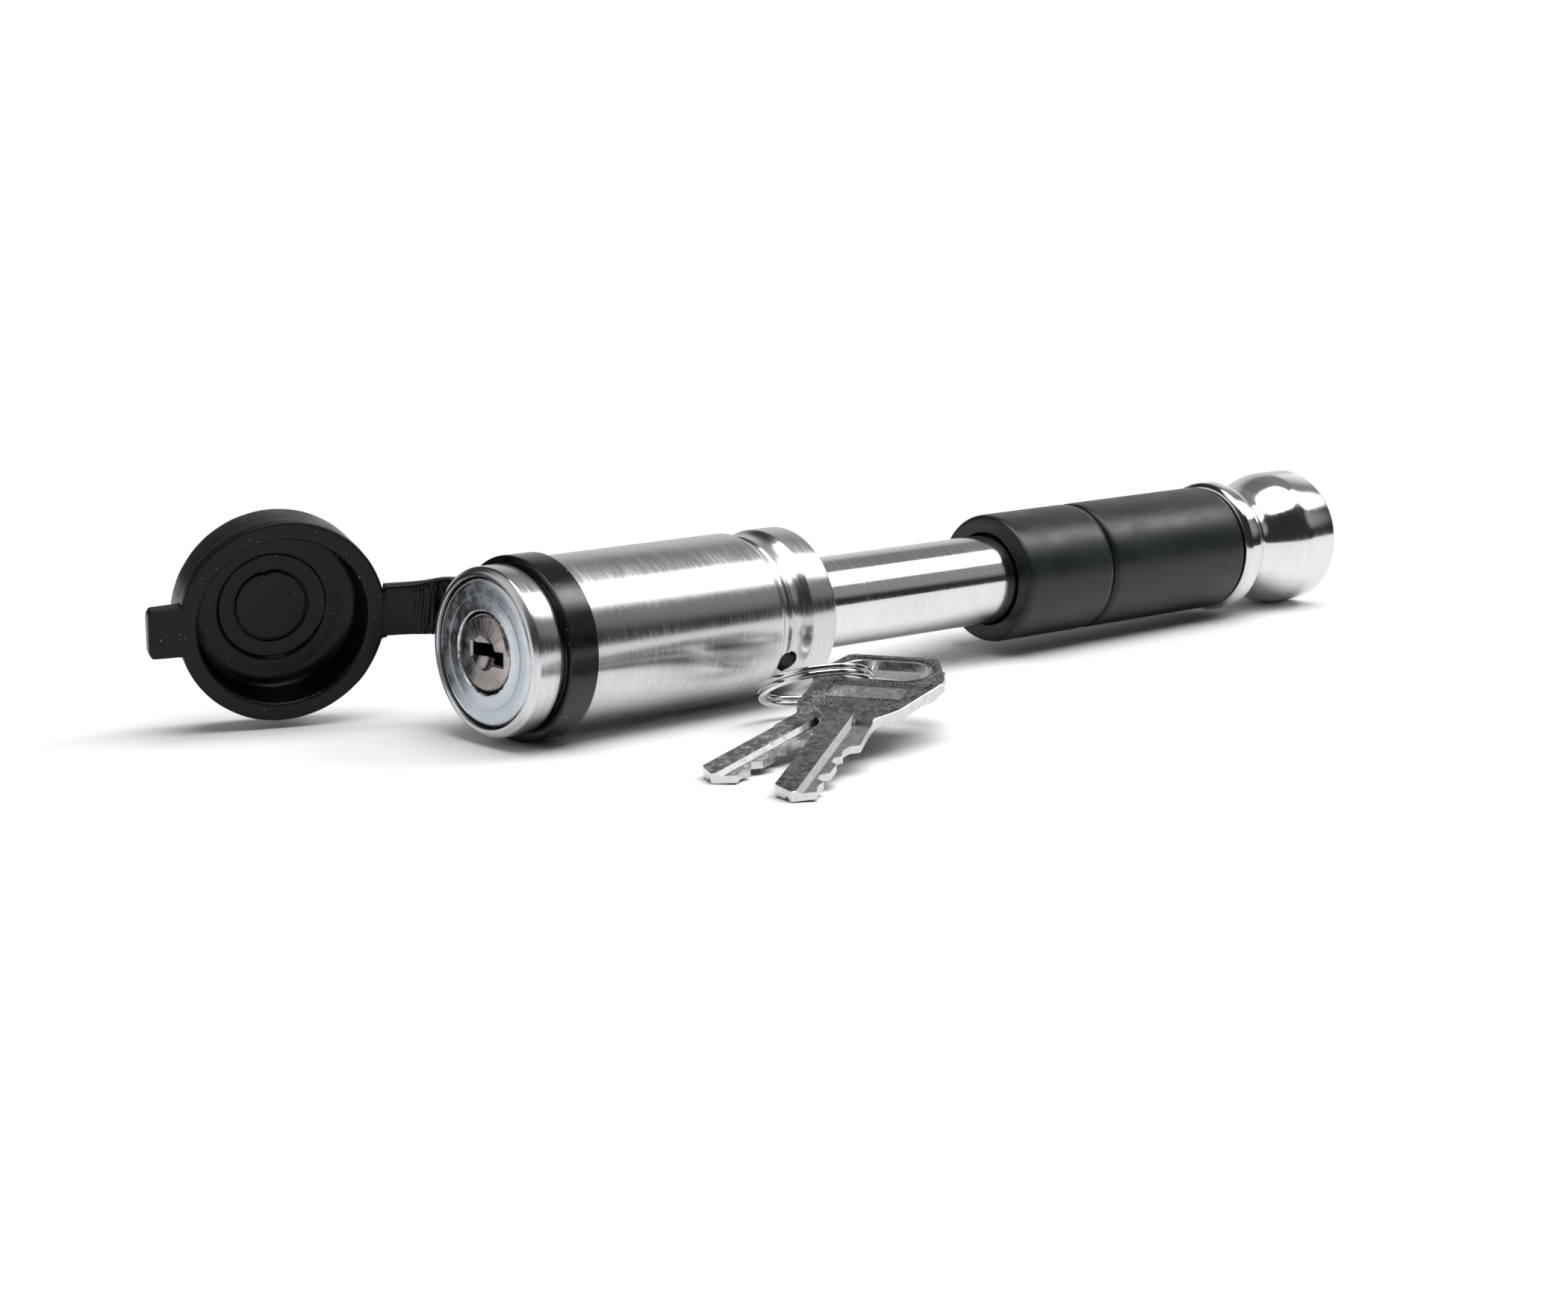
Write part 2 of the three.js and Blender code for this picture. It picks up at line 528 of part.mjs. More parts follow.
// ---- Assembly -----------------------------------------------------------------------------
function makeLock() {
  const lock = new THREE.Group();
  lock.add(makeBarrel(), makeLockCore(), makeCoreRetainingPin(), makeKeyPlug());
  for (let index = 0; index < WAFER_COUNT; index += 1) {
    lock.add(makeWafer(index), makeWaferSpring(index));
  }
  lock.add(makePlugClip(), makeCamRing(), makeBallCage());
  lock.add(makeLockingBall('locking_ball_1', 1), makeLockingBall('locking_ball_2', -1));
  lock.add(makePinSeal(), makeHitchPin());
  lock.add(makeSleeve('sleeve_short', SHORT_SLEEVE), makeSleeve('sleeve_long', LONG_SLEEVE));
  lock.add(makeCapRing());

  const openCap = new THREE.Group();
  openCap.add(makeDustCap(), makeCapDisc());
  openCap.quaternion.copy(capSwing);
  openCap.position.copy(swungPoint(0, 0));
  const capSide = new THREE.Group();
  capSide.add(makeCapStrap(), openCap);
  capSide.rotation.x = CAP_TURN;
  lock.add(capSide);

  lock.position.z = FACE_HEIGHT;
  lock.rotation.y = LIE_TILT;
  return lock;
}

const group = new THREE.Group();
group.add(makeLock(), makeSplitRing(), ...KEY_POSES.map(placeKey));

// The origin is under the middle of everything, on the table.
group.updateMatrixWorld(true);
const bounds = new THREE.Box3().setFromObject(group, true);
const middle = bounds.getCenter(new THREE.Vector3());
group.position.set(-middle.x, -middle.y, -bounds.min.z);
group.updateMatrixWorld(true);

export default group;
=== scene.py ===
"""Hitch pin lock: the looks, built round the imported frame. Shapes are in millimetres in the lock's own
frame, with X from the lock face to the knob, and become metres where a mesh is made."""
import json
import math

import bmesh
import bpy
from mathutils import Matrix, Vector, geometry, noise


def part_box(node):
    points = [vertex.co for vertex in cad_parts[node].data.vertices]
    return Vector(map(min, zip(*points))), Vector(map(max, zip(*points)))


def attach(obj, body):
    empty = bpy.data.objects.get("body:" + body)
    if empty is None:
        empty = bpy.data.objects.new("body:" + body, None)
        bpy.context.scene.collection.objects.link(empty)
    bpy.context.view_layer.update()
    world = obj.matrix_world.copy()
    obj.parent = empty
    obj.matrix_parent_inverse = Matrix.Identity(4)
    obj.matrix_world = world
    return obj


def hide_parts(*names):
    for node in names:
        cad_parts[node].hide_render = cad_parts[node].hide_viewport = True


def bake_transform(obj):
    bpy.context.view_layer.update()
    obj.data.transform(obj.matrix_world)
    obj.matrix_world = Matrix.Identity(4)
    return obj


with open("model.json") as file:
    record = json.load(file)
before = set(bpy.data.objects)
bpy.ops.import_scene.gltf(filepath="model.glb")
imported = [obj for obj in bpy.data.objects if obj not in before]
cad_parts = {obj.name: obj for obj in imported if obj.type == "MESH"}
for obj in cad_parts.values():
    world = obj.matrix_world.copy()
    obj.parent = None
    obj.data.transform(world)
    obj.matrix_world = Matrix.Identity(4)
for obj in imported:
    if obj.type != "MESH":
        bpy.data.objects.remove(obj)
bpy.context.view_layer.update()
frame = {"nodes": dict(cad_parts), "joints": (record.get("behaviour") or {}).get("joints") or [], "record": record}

MM = 0.001
RECORD = frame["record"]
BODY_OF = {node: body for body, nodes in RECORD["behaviour"]["bodies"].items() for node in nodes}
SLOT_OF = {part["node"]: part["material_slot"] for part in RECORD["subparts"]}
JOINTS = {joint["name"]: joint for joint in frame["joints"]}


# ---- Frames --------------------------------------------------------------------------------
def lock_frame():
    """The lock's own frame: its origin is the middle of the lock face, and X runs along the pin."""
    joint = JOINTS["plug_turn"]
    x = Vector(joint["axis"]).normalized()
    y = Vector((0, 1, 0))
    z = x.cross(y)
    rotation = Matrix((x, y, z)).transposed().to_4x4()
    return Matrix.Translation(joint["pos_m"]) @ rotation


def cap_side_frame(lock):
    """The lock's frame turned about X, so that the hinge of the cap lies on its Y axis."""
    hinge = lock.inverted() @ Vector(JOINTS["cap_swing"]["pos_m"])
    return lock @ Matrix.Rotation(math.atan2(hinge.z, hinge.y), 4, "X")


def open_cap_frame(cap_side):
    """The frame of the open cap, which is the cap side's own when the cap is closed."""
    joint = JOINTS["cap_swing"]
    pivot = Matrix.Translation(joint["pos_m"])
    swing = Matrix.Rotation(-math.radians(joint["range_deg"][1]), 4, Vector(joint["axis"]))
    return pivot @ swing @ pivot.inverted() @ cap_side


LOCK = lock_frame()
CAP_SIDE = cap_side_frame(LOCK)
CAP_FRAME = open_cap_frame(CAP_SIDE)

# ---- Sizes, in mm --------------------------------------------------------------------------
PIN_RADIUS = 7.94
RUBBER_RING = {"start": 6, "end": 11.6, "bore": 13.5, "radius": 15.15}
DRAIN_HOLE = {"x": 54.7, "radius": 2.0, "drop": math.radians(28)}
PLUG_RADIUS = 6.36
PLUG_FACE = 0.1
CAP_MOUTH = 5.5
CAP_RIM = 17.1
STRAP = {"thick": 2.4, "width": 8.8, "rise": (1.8, -0.6), "ring_x": 8.8}
KEY_HALF = 0.9  # half of a key's thickness
KEY_POSES = {  # heading and lift in degrees, and where the ring goes through the key
    "key_1": (14.5, 7, (49.4, 3.9)),
    "key_2": (30.7, 9.9, (50.9, 3.9)),
}


# ---- Shaders -------------------------------------------------------------------------------
class Shader:
    """A procedural material, made of a few nodes round one principled shader. Its pattern is laid
    out in the given frame."""

    def __init__(self, name, matrix=None, **surface):
        self.material = bpy.data.materials.new(name)
        self.material.use_nodes = True
        self.tree = self.material.node_tree
        self.tree.nodes.clear()
        self.surface = self.add("ShaderNodeBsdfPrincipled", surface)
        output = self.tree.nodes.new("ShaderNodeOutputMaterial")
        self.tree.links.new(self.surface.outputs["BSDF"], output.inputs["Surface"])
        matrix = matrix or LOCK
        self.place = self.add("ShaderNodeMapping", {
            "Vector": self.add("ShaderNodeTexCoord").outputs["Object"],
            "Location": matrix.translation, "Rotation": matrix.to_euler()},
            vector_type="TEXTURE").outputs[0]

    def add(self, kind, inputs=None, **settings):
        node = self.tree.nodes.new(kind)
        for key, value in settings.items():
            setattr(node, key, value)
        for key, value in (inputs or {}).items():
            self.feed(node.inputs[key.replace("_", " ") if isinstance(key, str) else key], value)
        return node

    def feed(self, socket, value):
        if isinstance(value, bpy.types.NodeSocket):
            self.tree.links.new(value, socket)
        elif hasattr(socket.default_value, "__len__") and len(value) < len(socket.default_value):
            socket.default_value = (*value, 1)
        else:
            socket.default_value = value

    def set(self, **inputs):
        for key, value in inputs.items():
            self.feed(self.surface.inputs[key.replace("_", " ")], value)

    def math(self, operation, a, b=0.0, clamp=False):
        node = self.add("ShaderNodeMath", {0: a, 1: b}, operation=operation, use_clamp=clamp)
        return node.outputs[0]

    def split(self, vector):
        return self.add("ShaderNodeSeparateXYZ", {"Vector": vector}).outputs

    def stretch(self, vector, x, y, z):
        node = self.add("ShaderNodeVectorMath", {0: vector, 1: (x, y, z)}, operation="MULTIPLY")
        return node.outputs[0]

    def rings(self, pitch, drift):
        """Coordinates that change fast along X and outwards, and slowly round the X axis."""
        x, y, z = self.split(self.place)
        flat = self.add("ShaderNodeCombineXYZ", {"Y": y, "Z": z}).outputs[0]
        radius = self.add("ShaderNodeVectorMath", {0: flat}, operation="LENGTH").outputs["Value"]
        along = self.math("MULTIPLY", self.math("ADD", x, radius), pitch)
        y = self.math("MULTIPLY", y, drift)
        z = self.math("MULTIPLY", z, drift)
        return self.add("ShaderNodeCombineXYZ", {"X": along, "Y": y, "Z": z}).outputs[0]

    def noise(self, vector=None, scale=1.0, detail=3.0, roughness=0.55, distortion=0.0):
        node = self.add("ShaderNodeTexNoise", {
            "Vector": vector or self.place, "Scale": scale, "Detail": detail,
            "Roughness": roughness, "Distortion": distortion})
        return node.outputs["Fac"]

    def span(self, value, low, high, to_low=0.0, to_high=1.0):
        node = self.add("ShaderNodeMapRange", {
            0: value, 1: low, 2: high, 3: to_low, 4: to_high}, interpolation_type="SMOOTHSTEP")
        return node.outputs[0]

    def mix(self, share, a, b):
        node = self.add("ShaderNodeMix", {0: share, 6: a, 7: b}, data_type="RGBA")
        return node.outputs[2]

    def bump(self, height, depth_mm, strength=1.0, normal=None):
        inputs = {"Height": height, "Distance": depth_mm * MM, "Strength": strength}
        if normal:
            inputs["Normal"] = normal
        return self.add("ShaderNodeBump", inputs).outputs[0]

    def specks(self, scale, amount, size=0.12):
        """Sparse spots: 1 inside a spot. The amount is the share of cells that hold one."""
        cell = self.add("ShaderNodeTexVoronoi", {"Vector": self.place, "Scale": scale})
        near = self.span(cell.outputs["Distance"], size * 0.5, size, 1, 0)
        pick = self.split(cell.outputs["Color"])[0]
        chosen = self.math("LESS_THAN", pick, amount)
        return self.math("MULTIPLY", near, chosen)


def turned_metal(name, light, dark, roughness, lines, pits=0.0, scratches=0.3, anisotropy=0.0,
                 matrix=None):
    """Metal finished on a lathe: fine rings, cloudy patches, and a few lengthwise scratches."""
    shader = Shader(name, matrix, Metallic=1.0, Anisotropic=anisotropy, Anisotropic_Rotation=0.25)
    round_the_axis = shader.add("ShaderNodeTangent", direction_type="RADIAL", axis="X")
    shader.set(Tangent=round_the_axis.outputs[0])
    fine = shader.noise(shader.rings(5200, 300), detail=2, roughness=0.6)
    broad = shader.noise(shader.rings(1500, 130), detail=3)
    cloud = shader.noise(scale=55, detail=4)
    scuff = shader.noise(shader.stretch(shader.place, 90, 2600, 2600), detail=2)
    scuff = shader.span(scuff, 0.66, 0.78, 0, scratches)
    grain = shader.math("ADD", shader.math("MULTIPLY", fine, 0.5), shader.math("MULTIPLY", broad, 0.5))
    tone = shader.span(grain, 0.5 - lines * 0.35, 0.5 + lines * 0.35)
    tone = shader.math("ADD", tone, shader.span(cloud, 0.3, 0.7, -0.2, 0.2), clamp=True)
    colour = shader.mix(tone, dark, light)
    colour = shader.mix(scuff, colour, tuple(min(1, channel * 1.15) for channel in light))
    if pits:
        pit = shader.specks(420, pits, 0.1)
        colour = shader.mix(pit, colour, (0.06, 0.06, 0.06))
    rough = shader.math("ADD", shader.span(grain, 0.35, 0.65, roughness - 0.03, roughness + 0.04),
                        shader.span(cloud, 0.35, 0.7, -0.02, 0.03))
    shader.set(Base_Color=colour, Roughness=rough, Normal=shader.bump(fine, 0.003 * lines))
    return shader.material


def cast_metal(name, light, dark, roughness, grain_mm=0.006):
    """Plated castings and pressings: satin, with soft ripples, dull spots and small scratches."""
    shader = Shader(name, Metallic=1.0)
    ripple = shader.noise(scale=420, detail=4, distortion=0.3)
    grit = shader.noise(scale=2600, detail=3, roughness=0.7)
    cloud = shader.noise(scale=110, detail=3)
    hair = shader.noise(shader.stretch(shader.place, 500, 300, 3600), detail=2, distortion=0.8)
    hair = shader.span(hair, 0.68, 0.76)
    colour = shader.mix(shader.span(cloud, 0.3, 0.7), dark, light)
    colour = shader.mix(shader.span(grit, 0.62, 0.8, 0, 0.5), colour, tuple(c * 0.45 for c in dark))
    colour = shader.mix(shader.math("MULTIPLY", hair, 0.5), colour, (0.9, 0.9, 0.92))
    rough = shader.span(ripple, 0.3, 0.7, roughness - 0.06, roughness + 0.09)
    normal = shader.bump(ripple, grain_mm * 2)
    shader.set(Base_Color=colour, Roughness=rough, Normal=shader.bump(grit, grain_mm, 1, normal))
    return shader.material


def key_metal():
    """Worn nickel plate: a dark mottled film on the flats, bright where wear or a cut has bared it."""
    shader = Shader("worn_nickel_key", Matrix.Rotation(math.radians(22), 4, "Z"), Metallic=1.0)
    wear = shader.add("ShaderNodeAttribute", attribute_name="wear").outputs["Fac"]
    mottle = shader.noise(scale=900, detail=5, roughness=0.65)
    blotch = shader.noise(scale=260, detail=4, distortion=0.6)
    film = shader.math("ADD", shader.span(mottle, 0.4, 0.68), shader.span(blotch, 0.42, 0.75), True)
    patina = shader.mix(film, (0.05, 0.05, 0.053), (0.23, 0.23, 0.23))
    speck = shader.span(shader.noise(scale=2600, detail=2), 0.62, 0.72)
    patina = shader.mix(shader.math("MULTIPLY", speck, 0.6), patina, (0.8, 0.8, 0.79))
    scored = shader.noise(shader.stretch(shader.place, 260, 3400, 900), detail=3)
    bare = shader.mix(shader.span(scored, 0.35, 0.65), (0.62, 0.62, 0.61), (0.68, 0.68, 0.67))
    uneven = shader.math("MULTIPLY", shader.span(mottle, 0.3, 0.8, -0.22, 0.22),
                         shader.span(wear, 0.8, 1, 1, 0.1))
    worn = shader.math("ADD", wear, uneven, True)
    rough = shader.math("ADD", shader.span(mottle, 0.3, 0.7, 0.42, 0.24),
                        shader.math("MULTIPLY", worn, -0.06))
    relief = shader.math("MULTIPLY", mottle, shader.span(wear, 0.3, 0.9, 1, 0.04))
    shader.set(Base_Color=shader.mix(worn, patina, bare), Roughness=rough,
               Normal=shader.bump(relief, 0.012))
    return shader.material


def moulded(name, colour, pale, roughness, grain, dust=0.05, ripple_mm=0.0, gloss=0.5):
    """Black rubber or plastic: fine grain, cloudy sheen, dust specks and faint rubbed marks."""
    shader = Shader(name, Specular_IOR_Level=gloss)
    fine = shader.noise(scale=grain, detail=3, roughness=0.6)
    cloud = shader.noise(scale=130, detail=4, distortion=0.4)
    smear = shader.noise(shader.stretch(shader.place, 110, 420, 420), detail=3, distortion=0.5)
    tone = shader.mix(shader.span(cloud, 0.35, 0.72), colour, pale)
    rubbed = shader.span(smear, 0.6, 0.8, 0, 0.4)
    tone = shader.mix(rubbed, tone, tuple(channel * 2.2 for channel in pale))
    spot = shader.math("MAXIMUM", shader.specks(800, dust, 0.12), shader.specks(1500, dust, 0.15))
    tone = shader.mix(shader.math("MULTIPLY", spot, 0.8), tone, (0.42, 0.43, 0.43))
    rough = shader.math("ADD", shader.span(cloud, 0.3, 0.7, roughness - 0.05, roughness + 0.07),
                        shader.math("MULTIPLY", spot, 0.3), True)
    normal = shader.bump(fine, 0.006)
    if ripple_mm:
        normal = shader.bump(cloud, ripple_mm, 1, normal)
    shader.set(Base_Color=tone, Roughness=rough, Normal=normal)
    return shader.material


STAINLESS = turned_metal("brushed_stainless", (0.72, 0.72, 0.73), (0.50, 0.50, 0.51), 0.23, 1.0,
                         pits=0.004, scratches=0.3, anisotropy=0.65)
POLISHED = turned_metal("polished_steel", (0.76, 0.76, 0.77), (0.66, 0.66, 0.67), 0.13, 0.55,
                        scratches=0.2, anisotropy=0.4)
ZINC = cast_metal("satin_zinc", (0.62, 0.66, 0.71), (0.55, 0.59, 0.64), 0.24, 0.0025)
NICKEL = cast_metal("plug_nickel", (0.45, 0.415, 0.40), (0.33, 0.30, 0.29), 0.22, 0.006)
BRASS = cast_metal("stamped_brass", (0.80, 0.66, 0.40), (0.60, 0.47, 0.25), 0.28)
SPRING_STEEL = cast_metal("drawn_spring_steel", (0.55, 0.56, 0.58), (0.38, 0.39, 0.41), 0.25)
KEY_NICKEL = key_metal()
RUBBER = moulded("black_rubber", (0.0015, 0.0015, 0.0015), (0.003, 0.0032, 0.0032), 0.30, 2400,
                 dust=0.05, ripple_mm=0.03, gloss=0.22)
RING_RUBBER = moulded("ring_rubber", (0.002, 0.003, 0.003), (0.004, 0.006, 0.006), 0.20, 2400,
                      dust=0.03, ripple_mm=0.04, gloss=0.42)
BLACK_NYLON = moulded("black_sleeve", (0.004, 0.007, 0.0075), (0.0065, 0.011, 0.0115), 0.36, 1500,
                      dust=0.015, ripple_mm=0.015, gloss=0.4)


# ---- Meshes --------------------------------------------------------------------------------
def rounded(points, closed, steps=5):
    """Softens each corner that has a third number, which says how far back its curve starts."""
    curve = []
    count = len(points)
    for index, (x, y, *soft) in enumerate(points):
        here = Vector((x, y))
        if not soft or (not closed and index in (0, count - 1)):
            curve.append(here)
            continue
        before = Vector(points[index - 1][:2]) - here
        after = Vector(points[(index + 1) % count][:2]) - here
        start = here + before.normalized() * min(soft[0], before.length * 0.48)
        end = here + after.normalized() * min(soft[0], after.length * 0.48)
        for step in range(steps):
            t = step / (steps - 1)
            curve.append(start * (1 - t) ** 2 + here * 2 * t * (1 - t) + end * t ** 2)
    return curve


def face_outwards(mesh, merge_mm=0.0):
    """Turns every face of a closed mesh outwards, once any points this close are merged."""
    work = bmesh.new()
    work.from_mesh(mesh)
    if merge_mm:
        bmesh.ops.remove_doubles(work, verts=work.verts, dist=merge_mm * MM)
    bmesh.ops.recalc_face_normals(work, faces=work.faces)
    work.to_mesh(mesh)
    work.free()


def make(name, vertices, faces, matrix=LOCK, smooth_angle=35):
    """A closed mesh object from points in mm, facing outwards, with its edges sharp past an angle."""
    mesh = bpy.data.meshes.new(name)
    mesh.from_pydata([Vector(v) * MM for v in vertices], [], faces)
    face_outwards(mesh, merge_mm=0.0005)
    obj = bpy.data.objects.new(name, mesh)
    bpy.context.scene.collection.objects.link(obj)
    obj.matrix_world = matrix
    shade(obj, smooth_angle)
    return obj


def shade(obj, angle):
    obj.data.shade_smooth()
    obj.data.set_sharp_from_angle(angle=math.radians(angle))


def turn(name, profile, sides=180, matrix=LOCK, reach=None, angle=35):
    """Turns a profile of (x, radius) about X: closed on itself, or from axis to axis. A reach
    function may push a point outwards by its angle: reach(x, radius, angle) gives its radius."""
    closed = profile[0][1] > 0
    curve = rounded(profile, closed)
    angles = sides if isinstance(sides, list) else [i * 2 * math.pi / sides for i in range(sides)]
    around = len(angles)
    vertices = []
    for x, radius in curve:
        for theta in angles:
            far = reach(x, radius, theta) if reach else radius
            vertices.append((x, far * math.cos(theta), far * math.sin(theta)))
    faces = []
    for row in range(len(curve) if closed else len(curve) - 1):
        low = row * around
        high = (row + 1) % len(curve) * around
        for i in range(around):
            j = (i + 1) % around
            faces.append((low + i, low + j, high + j, high + i))
    return make(name, vertices, faces, matrix, angle)


def applied(obj, angle=35):
    """Applies the object's modifiers."""
    graph = bpy.context.evaluated_depsgraph_get()
    obj.data = bpy.data.meshes.new_from_object(obj.evaluated_get(graph))
    obj.modifiers.clear()
    shade(obj, angle)
    return obj


def combine(obj, tools, operation="DIFFERENCE", angle=35):
    """Cuts the tools from the object, or joins them to it, and removes them."""
    for tool in tools:
        modifier = obj.modifiers.new("combine", "BOOLEAN")
        modifier.object = tool
        modifier.operation = operation
        modifier.solver = "EXACT"
    applied(obj, angle)
    for tool in tools:
        bpy.data.objects.remove(tool)
    return obj


def rod(radius, start, end, matrix=LOCK, sides=48):
    """A plain round bar, which cuts a hole."""
    start, end = Vector(start), Vector(end)
    turned_to = (end - start).to_track_quat("X", "Z").to_matrix()
    length = (end - start).length
    vertices = []
    for x in (0, length):
        for i in range(sides):
            theta = i * 2 * math.pi / sides
            point = Vector((x, radius * math.cos(theta), radius * math.sin(theta)))
            vertices.append(start + turned_to @ point)
    faces = [(i, (i + 1) % sides, sides + (i + 1) % sides, sides + i) for i in range(sides)]
    faces += [tuple(range(sides)), tuple(range(sides, 2 * sides))]
    return make("tool", vertices, faces, matrix)


def frustum(x, y, z, matrix=LOCK, grow=0.0):
    """A block between two stations along X, which grows by a margin at its second one."""
    (x0, x1), (y0, y1), (z0, z1) = x, y, z
    vertices = [(x0, y0, z0), (x0, y1, z0), (x0, y1, z1), (x0, y0, z1)]
    vertices += [(x1, y0 - grow, z0 - grow), (x1, y1 + grow, z0 - grow),
                 (x1, y1 + grow, z1 + grow), (x1, y0 - grow, z1 + grow)]
    faces = [(0, 1, 2, 3), (4, 5, 6, 7), (0, 1, 5, 4), (1, 2, 6, 5), (2, 3, 7, 6), (3, 0, 4, 7)]
    return make("tool", vertices, faces, matrix)


def inset(loop, margin):
    """Moves a loop of 2-D points to its left: inwards if it runs anticlockwise."""
    moved = []
    count = len(loop)
    for index, point in enumerate(loop):
        before = (point - loop[index - 1]).normalized()
        after = (loop[(index + 1) % count] - point).normalized()
        left = Vector((-before.y, before.x))
        next_left = Vector((-after.y, after.x))
        moved.append(point + (left + next_left) * margin / max(0.4, 1 + left.dot(next_left)))
    return moved


def plate(name, outline, holes, low, high, chamfer=0.0, matrix=None):
    """A flat plate in XY with chamfered edges. The outline runs anticlockwise, holes clockwise."""
    levels = [(low, chamfer), (low + chamfer, 0), (high - chamfer, 0), (high, chamfer)]
    if not chamfer:
        levels = [(low, 0), (high, 0)]
    vertices = []
    faces = []
    caps = []
    for loop in (outline, *holes):
        first = len(vertices)
        count = len(loop)
        for z, margin in levels:
            vertices += [(p.x, p.y, z) for p in (inset(loop, margin) if margin else loop)]
        for row in range(len(levels) - 1):
            for i in range(count):
                j = (i + 1) % count
                a, b = first + row * count, first + (row + 1) * count
                faces.append((a + i, a + j, b + j, b + i))
        caps.append([(first + i, first + (len(levels) - 1) * count + i) for i in range(count)])
    index = [pair for loop in caps for pair in loop]
    for side in (0, 1):
        rings = [[Vector(vertices[pair[side]]) for pair in loop] for loop in caps]
        for triangle in geometry.tessellate_polygon(rings):
            faces.append(tuple(index[corner][side] for corner in triangle))
    return make(name, vertices, faces, matrix or Matrix.Identity(4), 25)


def roughen(obj, amount_mm, scale, keep=lambda point: True):
    """Moves points by a little noise, in the object's own frame."""
    for vertex in obj.data.vertices:
        point = vertex.co / MM
        if keep(point):
            shift = noise.noise_vector(point * scale) * amount_mm
            vertex.co += shift * MM
    return obj


def settle(obj):
    """Moves an object's place into its mesh."""
    obj.data.transform(obj.matrix_world)
    obj.matrix_world = Matrix.Identity(4)


def stands_for(obj, node, material):
    """Gives a piece its material, and lets it ride in the place of a CAD node."""
    settle(obj)
    obj.data.materials.clear()
    obj.data.materials.append(material)
    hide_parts(node)
    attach(obj, BODY_OF[node])
    return obj


# ---- Lock head -----------------------------------------------------------------------------
def make_barrel():
    barrel = turn("head_barrel", [
        (0, 12.32, 0.1), (0, 12.95, 0.3), (0.8, 13.85, 0.3), (5.0, 13.85, 0.12), (5.2, 13.6, 0.1),
        (5.2, 13.2), (11.9, 13.2), (11.9, 13.95, 0.1), (12.2, 14.22, 0.15),
        (51.6, 14.22, 0.25), (52.15, 13.95, 0.2), (52.8, 13.3, 0.3), (53.8, 13.22, 0.2),
        (54.15, 13.48, 0.12), (54.5, 13.48, 0.12), (54.9, 13.25, 0.3), (56.8, 13.25, 0.8),
        (58.3, 14.19, 0.35), (63.55, 14.19, 0.2), (64, 13.72, 0.15), (64, 8.9, 0.1),
        (63.4, 8.3), (60.8, 8.3), (60.8, 10.5), (58.2, 10.5), (58.2, 8.3), (42.6, 8.3),
        (42.6, 11.5), (27.3, 11.5), (27.3, 12.3), (0.35, 12.3, 0.1),
    ], sides=240)
    out = Vector((0, -math.cos(DRAIN_HOLE["drop"]), -math.sin(DRAIN_HOLE["drop"])))
    centre = Vector((DRAIN_HOLE["x"], 0, 0))
    hole = rod(DRAIN_HOLE["radius"], centre + out * 7, centre + out * 16)
    combine(barrel, [hole])
    stands_for(barrel, "barrel", STAINLESS)


def make_core():
    """The casting in the head: a faintly dished face with bevelled rims, chipped at its bore."""
    bore = PLUG_RADIUS + 0.3
    core = turn("lock_core_face", [
        (0.45, bore), (0.16, bore + 0.12, 0.08), (0.13, bore + 0.42, 0.15), (0.27, 7.9, 0.4),
        (0.31, 9.1, 0.3), (0.28, 9.4, 0.2), (0.25, 11.2, 0.5), (0.4, 11.62, 0.15),
        (0.62, 11.86, 0.1), (0.9, 12.0, 0.1), (27, 12), (27, bore),
    ], sides=220, angle=50)
    roughen(core, 0.05, 2.1, lambda p: p.x < 0.5 and math.hypot(p.y, p.z) < 7.0)
    stands_for(core, "lock_core", ZINC)


def make_key_plug():
    """The plug: a dimple in its face, a stepped keyway with a soft lead-in, and its clip groove."""
    plug = turn("key_plug_body", [
        (PLUG_FACE, 0), (PLUG_FACE, PLUG_RADIUS - 0.5, 0.1), (PLUG_FACE + 0.5, PLUG_RADIUS, 0.15),
        (27.35, PLUG_RADIUS), (27.35, 5.2), (28.35, 5.2), (28.35, 6), (29, 6, 0.1), (29, 0),
    ], sides=120)
    dimple_radius, dimple_depth = 2.9, 1.3
    ball = (dimple_radius ** 2 + dimple_depth ** 2) / (2 * dimple_depth)
    arc = [(PLUG_FACE + dimple_depth - ball + ball * math.cos(t), ball * math.sin(t))
           for t in [i * math.pi / 64 for i in range(65)]]
    arc[0], arc[-1] = (arc[0][0], 0), (arc[-1][0], 0)
    dimple = turn("tool", arc, sides=96)
    wide, step = ((-2.3, 3.2), (-0.75, 1.45)), ((-4.9, -2.2), (-1.55, 0.5))
    slots = []
    for y, z in (wide, step):
        slots.append(frustum((24, -1), y, z))
        slots.append(frustum((PLUG_FACE + 0.35, PLUG_FACE - 0.15), y, z, grow=0.4))
    tang = frustum((28.9, 31.3), (-1.5, 1.5), (-4, 4))
    combine(plug, [tang], "UNION")
    combine(plug, [dimple, *slots])
    roughen(plug, 0.03, 2.3, lambda p: p.x < 0.8 and math.hypot(p.y, p.z) > 5.2)
    stands_for(plug, "key_plug", NICKEL)


